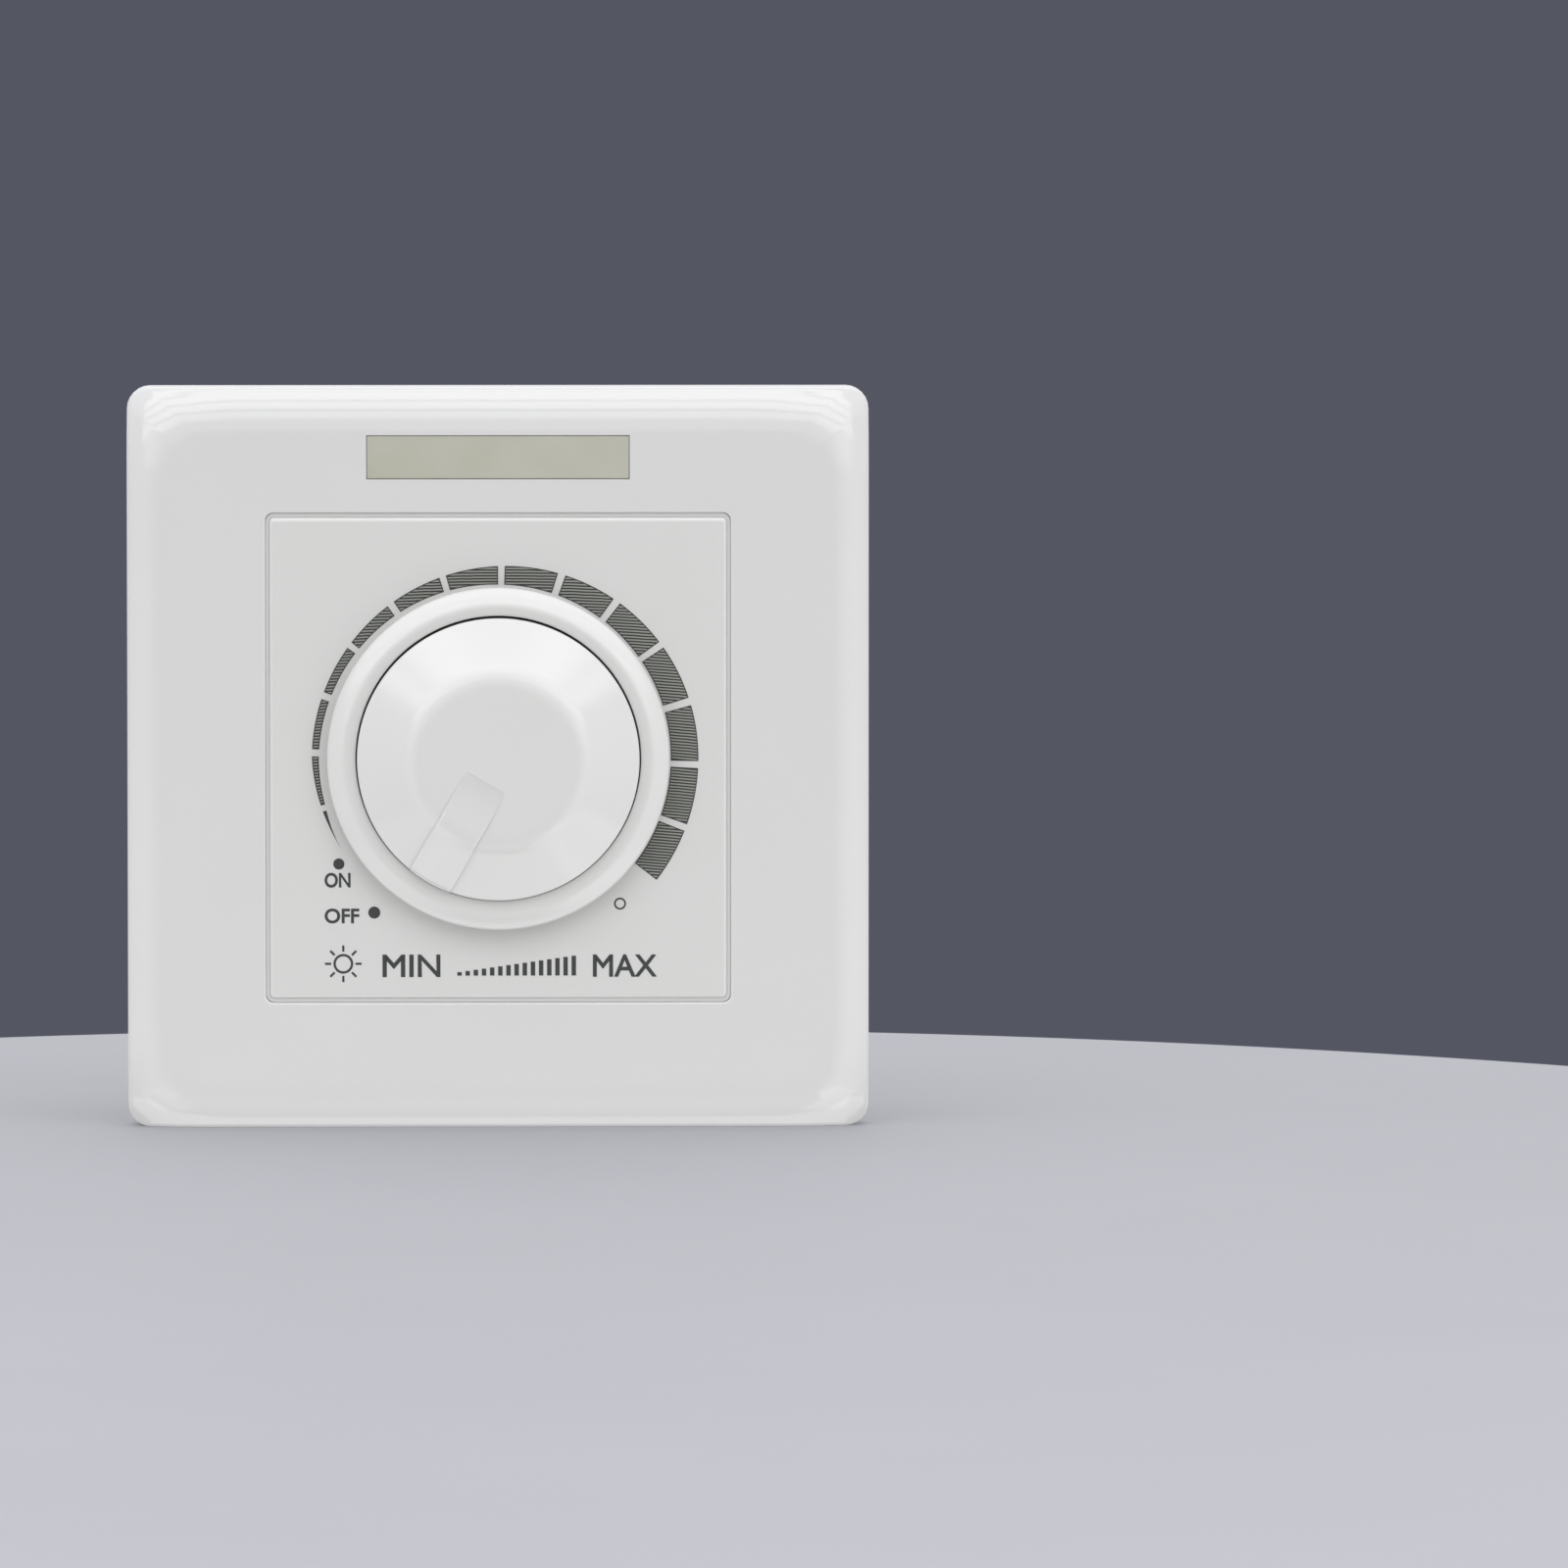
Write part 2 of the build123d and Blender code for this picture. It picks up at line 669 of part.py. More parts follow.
# Power transistor with its mounting hole
with BuildPart() as power_transistor:
    transistor_base = board_back + transistor_rise
    with BuildSketch(from_wall(transistor_base + transistor_h)):
        with Locations(transistor_at):
            Rectangle(transistor_w, transistor_t)
    extrude(amount=transistor_h)
    with BuildSketch(Plane.XY.offset(transistor_at[1] - transistor_t / 2)):
        with Locations((transistor_at[0], transistor_base + transistor_hole_at)):
            Circle(transistor_hole_r)
    extrude(amount=transistor_t, mode=Mode.SUBTRACT)
    push_leads(transistor_leads, transistor_base)
power_transistor.part.label = "power_transistor"
export_step(power_transistor.part, "parts/power_transistor.step")

# Bridge rectifier
with BuildPart() as bridge_rectifier:
    with BuildSketch(from_wall(base + rectifier_h)):
        with Locations(rectifier_at):
            Rectangle(rectifier_w, rectifier_t)
    extrude(amount=rectifier_h)
    chamfer(bridge_rectifier.faces().sort_by(Axis.Y)[-1].edges().sort_by(Axis.X)[-1], rectifier_chamfer)
    push_leads(rectifier_leads, base)
bridge_rectifier.part.label = "bridge_rectifier"
export_step(bridge_rectifier.part, "parts/bridge_rectifier.step")

# Round fuse
with BuildPart() as fuse:
    with BuildSketch(from_wall(base + fuse_h)):
        with Locations(fuse_at):
            Circle(fuse_r)
    extrude(amount=fuse_h)
    chamfer(fuse.faces().sort_by(Axis.Y)[-1].edges(), fuse_chamfer)
    push_leads(fuse_leads, base)
fuse.part.label = "fuse"
export_step(fuse.part, "parts/fuse.step")


def axial_part(at, body_r, body_l, span):
    """A part that lies on the board, with its two leads bent down into their holes."""
    axis_depth = board_back + body_r + 3 * standoff
    with BuildSketch(Plane.YZ.offset(at[0] - body_l / 2)) as body:
        with Locations((axis_depth, at[1])):
            Circle(body_r)
    extrude(body.sketch, amount=body_l)
    near_x, far_x = at[0] - span / 2, at[0] + span / 2
    tail_depth = board_depth - lead_tail
    with BuildLine(Plane.XY.offset(at[1])) as route:
        FilletPolyline(
            (near_x, tail_depth), (near_x, axis_depth), (far_x, axis_depth), (far_x, tail_depth),
            radius=lead_bend_r,
        )
    with BuildSketch(from_wall(tail_depth)) as wire:
        with Locations((near_x, at[1])):
            Circle(lead_r)
    sweep(wire.sketch, path=route.line)


# Three resistors, side by side
with BuildPart() as resistors:
    for at in resistor_at:
        axial_part(at, resistor_r, resistor_l, resistor_span)
resistors.part.label = "resistors"
export_step(resistors.part, "parts/resistors.step")

# Reference diode
with BuildPart() as zener_diode:
    axial_part(zener_at, zener_r, zener_l, zener_span)
zener_diode.part.label = "zener_diode"
export_step(zener_diode.part, "parts/zener_diode.step")

# Terminal block: round wire entries below, screws from behind
with BuildPart() as terminal_block:
    with BuildSketch(from_wall(block_back)):
        with Locations((0, block_mid_z)):
            Rectangle(block_w, block_z_size)
    extrude(amount=block_height)
    chamber_low_z = block_low_z + wire_bore_l
    chamber_mid_z = chamber_low_z + clamp_z_size / 2 + clamp_gap
    chamber_base = board_back + wire_rise - clamp_window_h / 2 - clamp_base
    for x in poles:
        with BuildSketch(from_wall(chamber_base + clamp_h + clamp_head_h)):
            with Locations((x, chamber_mid_z)):
                Rectangle(clamp_w + 2 * clamp_gap, clamp_z_size + 2 * clamp_gap)
        extrude(amount=clamp_h + clamp_head_h, mode=Mode.SUBTRACT)
        with BuildSketch(from_wall(block_back)):
            with Locations((x, chamber_mid_z)):
                Circle(clamp_head_r + clamp_gap)
        extrude(amount=block_back - chamber_base - clamp_h, mode=Mode.SUBTRACT)
        with BuildSketch(Plane.XY.offset(block_low_z)):
            with Locations((x, board_back + wire_rise)):
                Circle(wire_bore_r)
        extrude(amount=wire_bore_l, mode=Mode.SUBTRACT)
    push_leads(block_leads, board_back + standoff)
terminal_block.part.label = "terminal_block"
export_step(terminal_block.part, "parts/terminal_block.step")

# Four cage clamps, each with a window for the wire
with BuildPart() as terminal_clamps:
    for x in poles:
        with BuildSketch(from_wall(chamber_base + clamp_h)):
            with Locations((x, chamber_mid_z)):
                Rectangle(clamp_w, clamp_z_size)
        extrude(amount=clamp_h)
        with BuildSketch(Plane.XY.offset(chamber_mid_z - clamp_z_size / 2)):
            with Locations((x, board_back + wire_rise)):
                Rectangle(clamp_window_w, clamp_window_h)
        extrude(amount=clamp_z_size, mode=Mode.SUBTRACT)
        with BuildSketch(from_wall(chamber_base + clamp_h)):
            with Locations((x, chamber_mid_z)):
                Circle(clamp_screw_r + run_gap)
        extrude(amount=clamp_h / 2, mode=Mode.SUBTRACT)
terminal_clamps.part.label = "terminal_clamps"
export_step(terminal_clamps.part, "parts/terminal_clamps.step")

# Four clamp screws with slotted heads
with BuildPart() as terminal_screws:
    head_back = block_back - clamp_head_sink
    for x in poles:
        with BuildSketch(from_wall(head_back)):
            with Locations((x, chamber_mid_z)):
                Circle(clamp_head_r)
        extrude(amount=clamp_head_h)
        with BuildSketch(from_wall(head_back - clamp_head_h)):
            with Locations((x, chamber_mid_z)):
                Circle(clamp_screw_r)
        extrude(amount=clamp_screw_l)
        with BuildSketch(from_wall(head_back)):
            with Locations((x, chamber_mid_z)):
                Rectangle(3 * clamp_head_r, clamp_slot_w)
        extrude(amount=clamp_slot_d, mode=Mode.SUBTRACT)
terminal_screws.part.label = "terminal_screws"
export_step(terminal_screws.part, "parts/terminal_screws.step")

# Potentiometer bushing with its square flange and locating tab
with BuildPart() as pot_bushing:
    with BuildSketch(from_room(flange_back_level)):
        RectangleRounded(pot_flange_size, pot_flange_size, pot_flange_corner_r)
    extrude(amount=pot_flange_t)
    with BuildSketch(from_room(dish_back_level)):
        Circle(bushing_r)
    extrude(amount=bushing_l)
    with BuildSketch(from_room(dish_back_level)):
        with Locations((0, pot_tab_r)):
            Rectangle(pot_tab_w, pot_tab_t)
    extrude(amount=pot_tab_h)
    with BuildSketch(from_room(flange_back_level)):
        Circle(shaft_r + run_gap)
    extrude(amount=pot_flange_t + bushing_l, mode=Mode.SUBTRACT)
pot_bushing.part.label = "pot_bushing"
export_step(pot_bushing.part, "parts/pot_bushing.step")

# Drawn can, open towards the flange
with BuildPart() as pot_can:
    with BuildSketch(from_wall(can_depth)):
        Circle(can_r)
    extrude(amount=can_depth + flange_back_level)
    with BuildSketch(from_wall(can_depth - can_t)):
        Circle(can_r - can_t)
    extrude(amount=can_depth - can_t + flange_back_level, mode=Mode.SUBTRACT)
    with BuildSketch(from_wall(can_depth)):
        Circle(shaft_r + slide_gap)
    extrude(amount=can_t, mode=Mode.SUBTRACT)
    # The notch that the terminals come out of
    notch_w = 2 * terminal_pitch + terminal_w + 2 * slide_gap
    with BuildSketch(from_wall(can_depth - can_t)):
        with Locations((0, -can_r)):
            Rectangle(notch_w, can_r)
    extrude(amount=track_t + terminal_t + slide_gap, mode=Mode.SUBTRACT)
pot_can.part.label = "pot_can"
export_step(pot_can.part, "parts/pot_can.step")

# Resistance track on its round card
with BuildPart() as pot_track:
    track_back = can_depth - can_t
    with BuildSketch(from_wall(track_back)):
        Circle(track_r)
        Circle(shaft_r + slide_gap, mode=Mode.SUBTRACT)
    extrude(amount=track_t)
pot_track.part.label = "pot_track"
export_step(pot_track.part, "parts/pot_track.step")

# Three terminals, riveted to the card and bent back through the board
with BuildPart() as pot_terminals:
    terminal_front = track_back - track_t
    terminal_inner_z = track_r - terminal_overlap
    for x, z in pot_pins:
        with BuildSketch(from_wall(terminal_front)):
            with Locations((x, -(terminal_inner_z + terminal_z) / 2)):
                Rectangle(terminal_w, terminal_z - terminal_inner_z + terminal_t)
        extrude(amount=terminal_t)
        with BuildSketch(from_wall(board_back + pin_tail)):
            with Locations((x, z)):
                Rectangle(terminal_w, terminal_t)
        extrude(amount=board_back + pin_tail - terminal_front)
pot_terminals.part.label = "pot_terminals"
export_step(pot_terminals.part, "parts/pot_terminals.step")

# Toothed washer and nut that hold the bushing in the dish
with BuildPart() as pot_washer:
    with BuildSketch(from_room(dish_floor_level)):
        Circle(washer_r)
        with PolarLocations(washer_r, washer_teeth):
            Circle(washer_notch_r, mode=Mode.SUBTRACT)
        Circle(bushing_r + lead_gap, mode=Mode.SUBTRACT)
    extrude(amount=washer_t)
pot_washer.part.label = "pot_washer"
export_step(pot_washer.part, "parts/pot_washer.step")

with BuildPart() as pot_nut:
    with BuildSketch(from_room(nut_back_level)):
        RegularPolygon(nut_flats / 2, 6, major_radius=False)
        Circle(bushing_r + seat_gap, mode=Mode.SUBTRACT)
    extrude(amount=nut_t)
pot_nut.part.label = "pot_nut"
export_step(pot_nut.part, "parts/pot_nut.step")

# Shaft: round through the bushing, flatted inside the knob, grooved for its clip
with BuildPart() as pot_shaft:
    shaft_back = switch_depth - switch_wall - slide_gap
    with BuildSketch(from_wall(shaft_back)):
        Circle(shaft_r)
    extrude(amount=shaft_back + shaft_end_level)
    with BuildSketch(from_room(clip_back_level - seat_gap)):
        Circle(shaft_r)
        Circle(shaft_r - clip_groove, mode=Mode.SUBTRACT)
    extrude(amount=clip_t + 2 * seat_gap, mode=Mode.SUBTRACT)
    with BuildSketch(from_room(hub_back_level)):
        with Locations((0, shaft_flat + shaft_r)):
            Rectangle(2 * shaft_r, 2 * shaft_r)
    extrude(amount=shaft_end_level - hub_back_level, mode=Mode.SUBTRACT)
    chamfer(pot_shaft.faces().sort_by(Axis.Y)[0].edges(), shaft_chamfer)
pot_shaft.part.label = "pot_shaft"
export_step(pot_shaft.part, "parts/pot_shaft.step")

# Open ring clip in the shaft's groove
with BuildPart() as retaining_clip:
    with BuildSketch(from_room(clip_back_level)):
        Circle(clip_r)
        Circle(shaft_r - clip_groove + seat_gap, mode=Mode.SUBTRACT)
        with Locations((0, -clip_r)):
            Rectangle(clip_mouth, 2 * clip_r, mode=Mode.SUBTRACT)
    extrude(amount=clip_t)
retaining_clip.part.label = "retaining_clip"
export_step(retaining_clip.part, "parts/retaining_clip.step")

# Knob: a turned cap with a flat crown and a sloping rim, and a raised pointer across both
with BuildPart() as knob:
    skirt_level = dish_floor_level + slide_gap
    with BuildSketch(profile):
        with BuildLine():
            Polyline(
                (0, knob_crown_level),
                (knob_crown_r, knob_crown_level),
                (knob_r, knob_rim_level),
                (knob_r, skirt_level),
                (knob_r - knob_wall, skirt_level),
                (knob_r - knob_wall, knob_cap_level),
                (knob_hub_r, knob_cap_level),
                (knob_hub_r, hub_back_level),
                (0, hub_back_level),
                (0, knob_crown_level),
            )
        make_face()
    revolve(axis=Axis.Y)
    # The two front edges are the crown's and, behind it, the rim's
    fillet(knob.edges().filter_by(GeomType.CIRCLE).group_by(Axis.Y)[0], knob_crown_blend_r)
    rim_edge = knob.edges().filter_by(GeomType.CIRCLE).filter_by_position(
        Axis.Y, -knob_rim_level - seat_gap, -knob_rim_level + seat_gap
    )
    fillet(rim_edge, knob_rim_r)
    # Webs from the hub to the skirt
    web_l = knob_r - knob_wall - knob_hub_r
    with BuildSketch(from_room(hub_back_level + knob_web_rise)):
        with PolarLocations(knob_hub_r + web_l / 2, knob_web_count):
            Rectangle(web_l + 2 * seat_gap, knob_web_t)
    extrude(amount=knob_cap_level - hub_back_level - knob_web_rise)
    # The pointer, a low wedge that rises from the crown and follows the slope to the rim
    turn = radians(pointer_angle)
    along = (-sin(turn), 0, -cos(turn))
    with BuildPart(mode=Mode.PRIVATE) as pointer:
        with BuildSketch(Plane(origin=(0, 0, 0), x_dir=along, z_dir=(along[2], 0, -along[0]))) as side:
            slope = (knob_crown_level - knob_rim_level) / (knob_r - knob_crown_r)
            end_r = knob_r + 2 * pointer_proud
            with BuildLine():
                Polyline(
                    (pointer_start_r, knob_crown_level),
                    (knob_crown_r, knob_crown_level + pointer_rise),
                    (end_r, knob_crown_level + pointer_rise - slope * (end_r - knob_crown_r)),
                    (end_r, knob_crown_level - pointer_foot_drop),
                    (knob_r - knob_wall, knob_crown_level - pointer_foot_drop),
                    (knob_r - knob_wall, knob_cap_level + pointer_root),
                    (pointer_start_r, knob_cap_level + pointer_root),
                    (pointer_start_r, knob_crown_level),
                )
            make_face()
            fillet(side.vertices().sort_by(Axis.Y)[-1], knob_crown_blend_r)
        extrude(amount=pointer_w / 2, both=True)
        with BuildSketch(from_room(0)):
            Circle(knob_r + pointer_proud)
        extrude(amount=2 * knob_crown_level, mode=Mode.INTERSECT)
        fillet(pointer.faces().sort_by(Axis.Y)[0].edges(), pointer_edge_r)
    add(pointer.part)
    # The bore for the shaft, flat on the side of its spring
    with BuildSketch(from_room(hub_back_level)):
        Circle(shaft_r + seat_gap)
        with Locations((0, shaft_flat + hub_spring_gap + shaft_r)):
            Rectangle(2 * knob_hub_r, 2 * shaft_r, mode=Mode.SUBTRACT)
    extrude(amount=shaft_end_level + seat_gap - hub_back_level, mode=Mode.SUBTRACT)
knob.part.label = "knob"
export_step(knob.part, "parts/knob.step")

# Leaf spring between the knob's bore and the shaft's flat
with BuildPart() as knob_spring:
    with BuildSketch(from_room(hub_back_level + slide_gap)):
        with Locations((0, shaft_flat + hub_spring_gap / 2)):
            Rectangle(hub_spring_w, hub_spring_t)
    extrude(amount=shaft_end_level - hub_back_level - 2 * slide_gap)
knob_spring.part.label = "knob_spring"
export_step(knob_spring.part, "parts/knob_spring.step")

# Wiper disc on the shaft
with BuildPart() as wiper_disc:
    wiper_front = flange_back_level - slide_gap
    with BuildSketch(from_room(wiper_front - wiper_disc_t)):
        Circle(wiper_disc_r)
        Circle(shaft_r + seat_gap, mode=Mode.SUBTRACT)
    extrude(amount=wiper_disc_t)
wiper_disc.part.label = "wiper_disc"
export_step(wiper_disc.part, "parts/wiper_disc.step")

# Wiper: a leaf on the disc that bends back to the track
with BuildPart() as wiper_leaf:
    leaf_front = wiper_disc_t - wiper_front
    track_front = track_back - track_t
    leaf_z = (shaft_r + wiper_disc_r) / 2
    with BuildSketch(from_wall(leaf_front + wiper_leaf_t)):
        with Locations((0, leaf_z)):
            Rectangle(2 * wiper_leaf_w, wiper_leaf_w)
    extrude(amount=wiper_leaf_t)
    with BuildSketch(from_wall(track_front - wiper_touch)):
        with Locations((wiper_leaf_w - wiper_leaf_t, leaf_z)):
            Rectangle(2 * wiper_leaf_t, wiper_leaf_w)
    extrude(amount=track_front - wiper_touch - leaf_front)
wiper_leaf.part.label = "wiper_leaf"
export_step(wiper_leaf.part, "parts/wiper_leaf.step")

# Switch housing: a cup behind the can
with BuildPart() as switch_housing:
    with BuildSketch(from_wall(switch_depth)):
        Circle(can_r)
    extrude(amount=switch_depth - can_depth)
    with BuildSketch(from_wall(switch_depth - switch_wall)):
        Circle(can_r - switch_wall)
    extrude(amount=switch_depth - switch_wall - can_depth, mode=Mode.SUBTRACT)
    with BuildSketch(from_wall(switch_depth)):
        with Locations(*switch_pins):
            Circle(switch_pin_r + lead_gap)
    extrude(amount=switch_wall, mode=Mode.SUBTRACT)
switch_housing.part.label = "switch_housing"
export_step(switch_housing.part, "parts/switch_housing.step")


def arc_band(inner, outer, start, size):
    """A flat band between two radii, from this polar angle round by this many degrees."""
    with BuildLine() as outline:
        near = CenterArc((0, 0), inner, start, size)
        far = CenterArc((0, 0), outer, start, size)
        Line(near @ 0, far @ 0)
        Line(near @ 1, far @ 1)
    make_face(outline.edges())


# Two contact arcs on the cup's floor; the sector where the switch is off has none
with BuildPart() as switch_contacts:
    contact_back = switch_depth - switch_wall
    with BuildSketch(from_wall(contact_back)):
        for inner in (contact_inner_r, contact_outer_r - contact_ring_w):
            arc_band(inner, inner + contact_ring_w, pointer_polar - contact_end, contact_end - contact_start)
    extrude(amount=contact_t)
    with BuildSketch(from_wall(board_back + pin_tail)):
        with Locations(*switch_pins):
            Circle(switch_pin_r - seat_gap)
    extrude(amount=board_back + pin_tail - contact_back)
switch_contacts.part.label = "switch_contacts"
export_step(switch_contacts.part, "parts/switch_contacts.step")

# Switch disc on the shaft's end
with BuildPart() as switch_disc:
    disc_back = can_depth + slide_gap + switch_disc_t
    with BuildSketch(from_wall(disc_back)):
        Circle(switch_disc_r)
        Circle(shaft_r + seat_gap, mode=Mode.SUBTRACT)
    extrude(amount=switch_disc_t)
switch_disc.part.label = "switch_disc"
export_step(switch_disc.part, "parts/switch_disc.step")

# Bridging blade: a plate on the disc with a pad over each arc, resting in the off sector
with BuildPart() as switch_bridge:
    pad_depth = contact_back - contact_t - wiper_touch
    blade_mid_r = (contact_inner_r + contact_outer_r) / 2
    with BuildSketch(from_wall(disc_back + bridge_t)):
        with Locations(Location((0, 0), pointer_polar)):
            with Locations((blade_mid_r, 0)):
                Rectangle(contact_outer_r - contact_inner_r, bridge_w)
    extrude(amount=bridge_t)
    with BuildSketch(from_wall(pad_depth)):
        with Locations(Location((0, 0), pointer_polar)):
            with Locations((inner_pin_r, 0), (outer_pin_r, 0)):
                Circle(bridge_pad_r)
    extrude(amount=pad_depth - disc_back)
switch_bridge.part.label = "switch_bridge"
export_step(switch_bridge.part, "parts/switch_bridge.step")
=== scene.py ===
"""A rotary wall dimmer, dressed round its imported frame.

Everything is in metres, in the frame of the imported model: X right, Z up and Y into the wall, with the wall's
surface at Y = 0. A level is a distance out of the wall, towards the room. Lengths are written in millimetres
and turned to metres by MM.
"""
import logging
import math
from collections.abc import Callable, Iterable
from dataclasses import dataclass, field
from enum import Enum

import bmesh
import bpy
from mathutils import Matrix, Vector


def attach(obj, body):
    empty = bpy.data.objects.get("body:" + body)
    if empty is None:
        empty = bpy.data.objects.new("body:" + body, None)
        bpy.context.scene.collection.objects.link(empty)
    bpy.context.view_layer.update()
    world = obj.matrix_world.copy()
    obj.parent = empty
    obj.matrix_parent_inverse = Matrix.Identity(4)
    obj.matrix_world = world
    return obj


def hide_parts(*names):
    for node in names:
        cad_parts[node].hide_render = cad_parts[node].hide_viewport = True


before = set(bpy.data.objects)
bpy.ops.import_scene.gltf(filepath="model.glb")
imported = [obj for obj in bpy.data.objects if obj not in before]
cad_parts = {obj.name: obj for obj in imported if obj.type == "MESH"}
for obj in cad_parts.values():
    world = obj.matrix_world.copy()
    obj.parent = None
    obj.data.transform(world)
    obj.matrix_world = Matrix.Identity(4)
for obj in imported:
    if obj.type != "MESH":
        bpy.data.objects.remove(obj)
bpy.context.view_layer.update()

MM = 0.001
EMBED = 0.02 * MM
SMOOTH_ANGLE = math.radians(32)
logging.basicConfig(level=logging.INFO, format="%(name)s: %(message)s")
log = logging.getLogger("dimmer")

Colour = tuple[float, float, float, float]
Socket = bpy.types.NodeSocket
Tree = bpy.types.NodeTree


def linear(code: str) -> Colour:
    """Turn an sRGB hex value into a linear colour.

    Args:
        code: six hex digits, red first.

    Returns:
        The linear red, green and blue, and an alpha of one.
    """
    parts = [int(code[i:i + 2], 16) / 255 for i in (0, 2, 4)]
    return (*[p / 12.92 if p <= 0.04045 else ((p + 0.055) / 1.055) ** 2.4 for p in parts], 1.0)


def add_node(tree: Tree, kind: str, settings: dict | None = None, links: dict | None = None) -> bpy.types.Node:
    """Add a node to a material.

    Args:
        tree: the material's node tree.
        kind: the node's type name.
        settings: values by the name of a property, or else by the name or number of an input.
        links: output sockets by the name or number of the input that they feed.

    Returns:
        The new node.
    """
    node = tree.nodes.new(kind)
    for name, value in (settings or {}).items():
        if isinstance(name, str) and hasattr(node, name):
            setattr(node, name, value)
        else:
            node.inputs[name].default_value = value
    for name, source in (links or {}).items():
        tree.links.new(source, node.inputs[name])
    return node


@dataclass(frozen=True)
class Finish:
    """A surface finish, made into a material with Object coordinates.

    Attributes:
        name: what the real material and its process are called.
        colour: the main colour, as sRGB hex.
        shade: the second colour, into which the first drifts, as sRGB hex.
        roughness: the mean roughness.
        spread: how far the roughness strays from its mean.
        drift_mm: the size of the colour's cloudy drift.
        grit_mm: the size of the surface's grit.
        grit_depth_mm: the grit's height.
    """

    name: str
    colour: str
    shade: str
    roughness: float = 0.4
    spread: float = 0.05
    drift_mm: float = 12.0
    grit_mm: float = 0.4
    grit_depth_mm: float = 0.004

    def noise(self, tree: Tree, where: Socket, size_mm: float, detail: float = 2.0) -> Socket:
        """Make a noise whose features are as large as size_mm.

        Args:
            tree: the material's node tree.
            where: the coordinates that it reads.
            size_mm: the size of a feature.
            detail: how many finer layers it has.

        Returns:
            The noise's value, from 0 to 1.
        """
        settings = {"Scale": 1 / (size_mm * MM), "Detail": detail}
        return add_node(tree, "ShaderNodeTexNoise", settings, {"Vector": where}).outputs["Fac"]

    def tint(self, tree: Tree, where: Socket) -> Socket:
        """Return the colour: two shades that drift into each other."""
        cloud = self.noise(tree, where, self.drift_mm)
        mix = {"data_type": "RGBA", 6: linear(self.colour), 7: linear(self.shade)}
        return add_node(tree, "ShaderNodeMix", mix, {0: cloud}).outputs[2]

    def relief(self, tree: Tree, where: Socket) -> Socket:
        """Return the height of the surface's grit, in metres."""
        grit = self.noise(tree, where, self.grit_mm, 4.0)
        scaled = {"operation": "MULTIPLY", 1: self.grit_depth_mm * MM}
        return add_node(tree, "ShaderNodeMath", scaled, {0: grit}).outputs[0]

    def shader(self) -> dict:
        """Return the values that are the same all over the surface."""
        return {}

    def make(self) -> bpy.types.Material:
        """Build the material.

        Returns:
            The material, with its colour, roughness and bump from its nodes.
        """
        material = bpy.data.materials.new(self.name)
        material.use_nodes = True
        tree = material.node_tree
        tree.nodes.clear()
        where = add_node(tree, "ShaderNodeTexCoord").outputs["Object"]
        patches = self.noise(tree, where, 3 * self.drift_mm, 3.0)
        rough = add_node(tree, "ShaderNodeMapRange", {
            "To Min": max(self.roughness - self.spread, 0.02), "To Max": self.roughness + self.spread,
        }, {"Value": patches}).outputs["Result"]
        bump = add_node(tree, "ShaderNodeBump", {"Strength": 1.0, "Distance": 1.0}, {
            "Height": self.relief(tree, where)})
        surface = add_node(tree, "ShaderNodeBsdfPrincipled", self.shader(), {
            "Base Color": self.tint(tree, where), "Roughness": rough, "Normal": bump.outputs["Normal"]})
        add_node(tree, "ShaderNodeOutputMaterial", {}, {"Surface": surface.outputs["BSDF"]})
        material.diffuse_color = linear(self.colour)
        return material


@dataclass(frozen=True)
class MouldedPlastic(Finish):
    """Injection-moulded thermoplastic: a polished or fine spark-eroded skin with slight flow waves.

    Attributes:
        ripple_mm: the length of the flow waves, which lie along X.
        ripple_depth_mm: their height.
        glow: how much light spreads under the skin.
        ior: the index of refraction.
        skin: the strength of the mirror-like reflection, 0.5 for the resin's own.
    """

    ripple_mm: float = 7.0
    ripple_depth_mm: float = 0.002
    glow: float = 0.0
    ior: float = 1.5
    skin: float = 0.5

    def relief(self, tree: Tree, where: Socket) -> Socket:
        """Return the grit's height with the flow waves added, in metres."""
        stretched = add_node(tree, "ShaderNodeMapping", {"Scale": (0.12, 1.0, 1.0)}, {"Vector": where})
        waves = self.noise(tree, stretched.outputs["Vector"], self.ripple_mm)
        fine = Finish.relief(self, tree, where)
        summed = {"operation": "MULTIPLY_ADD", 1: self.ripple_depth_mm * MM}
        return add_node(tree, "ShaderNodeMath", summed, {0: waves, 2: fine}).outputs[0]

    def shader(self) -> dict:
        """Return the plastic's index of refraction and its glow under the skin."""
        return {"IOR": self.ior, "Specular IOR Level": self.skin, "Subsurface Weight": self.glow,
                "Subsurface Radius": (1.0, 0.95, 0.85), "Subsurface Scale": 0.8 * MM}


@dataclass(frozen=True)
class WorkedMetal(Finish):
    """Plated, drawn or cast metal with fine marks from its process.

    Attributes:
        line_mm: the spacing of the tool's lines.
        line_depth_mm: their height.
    """

    line_mm: float = 0.12
    line_depth_mm: float = 0.001

    def relief(self, tree: Tree, where: Socket) -> Socket:
        """Return the grit's height with the tool's lines added, in metres."""
        lines = add_node(tree, "ShaderNodeTexWave", {
            "Scale": math.pi / (10 * self.line_mm * MM), "Distortion": 2.0, "Detail": 2.0}, {"Vector": where})
        fine = Finish.relief(self, tree, where)
        summed = {"operation": "MULTIPLY_ADD", 1: self.line_depth_mm * MM}
        return add_node(tree, "ShaderNodeMath", summed, {0: lines.outputs["Fac"], 2: fine}).outputs[0]

    def shader(self) -> dict:
        """Return the weight of metal."""
        return {"Metallic": 1.0}


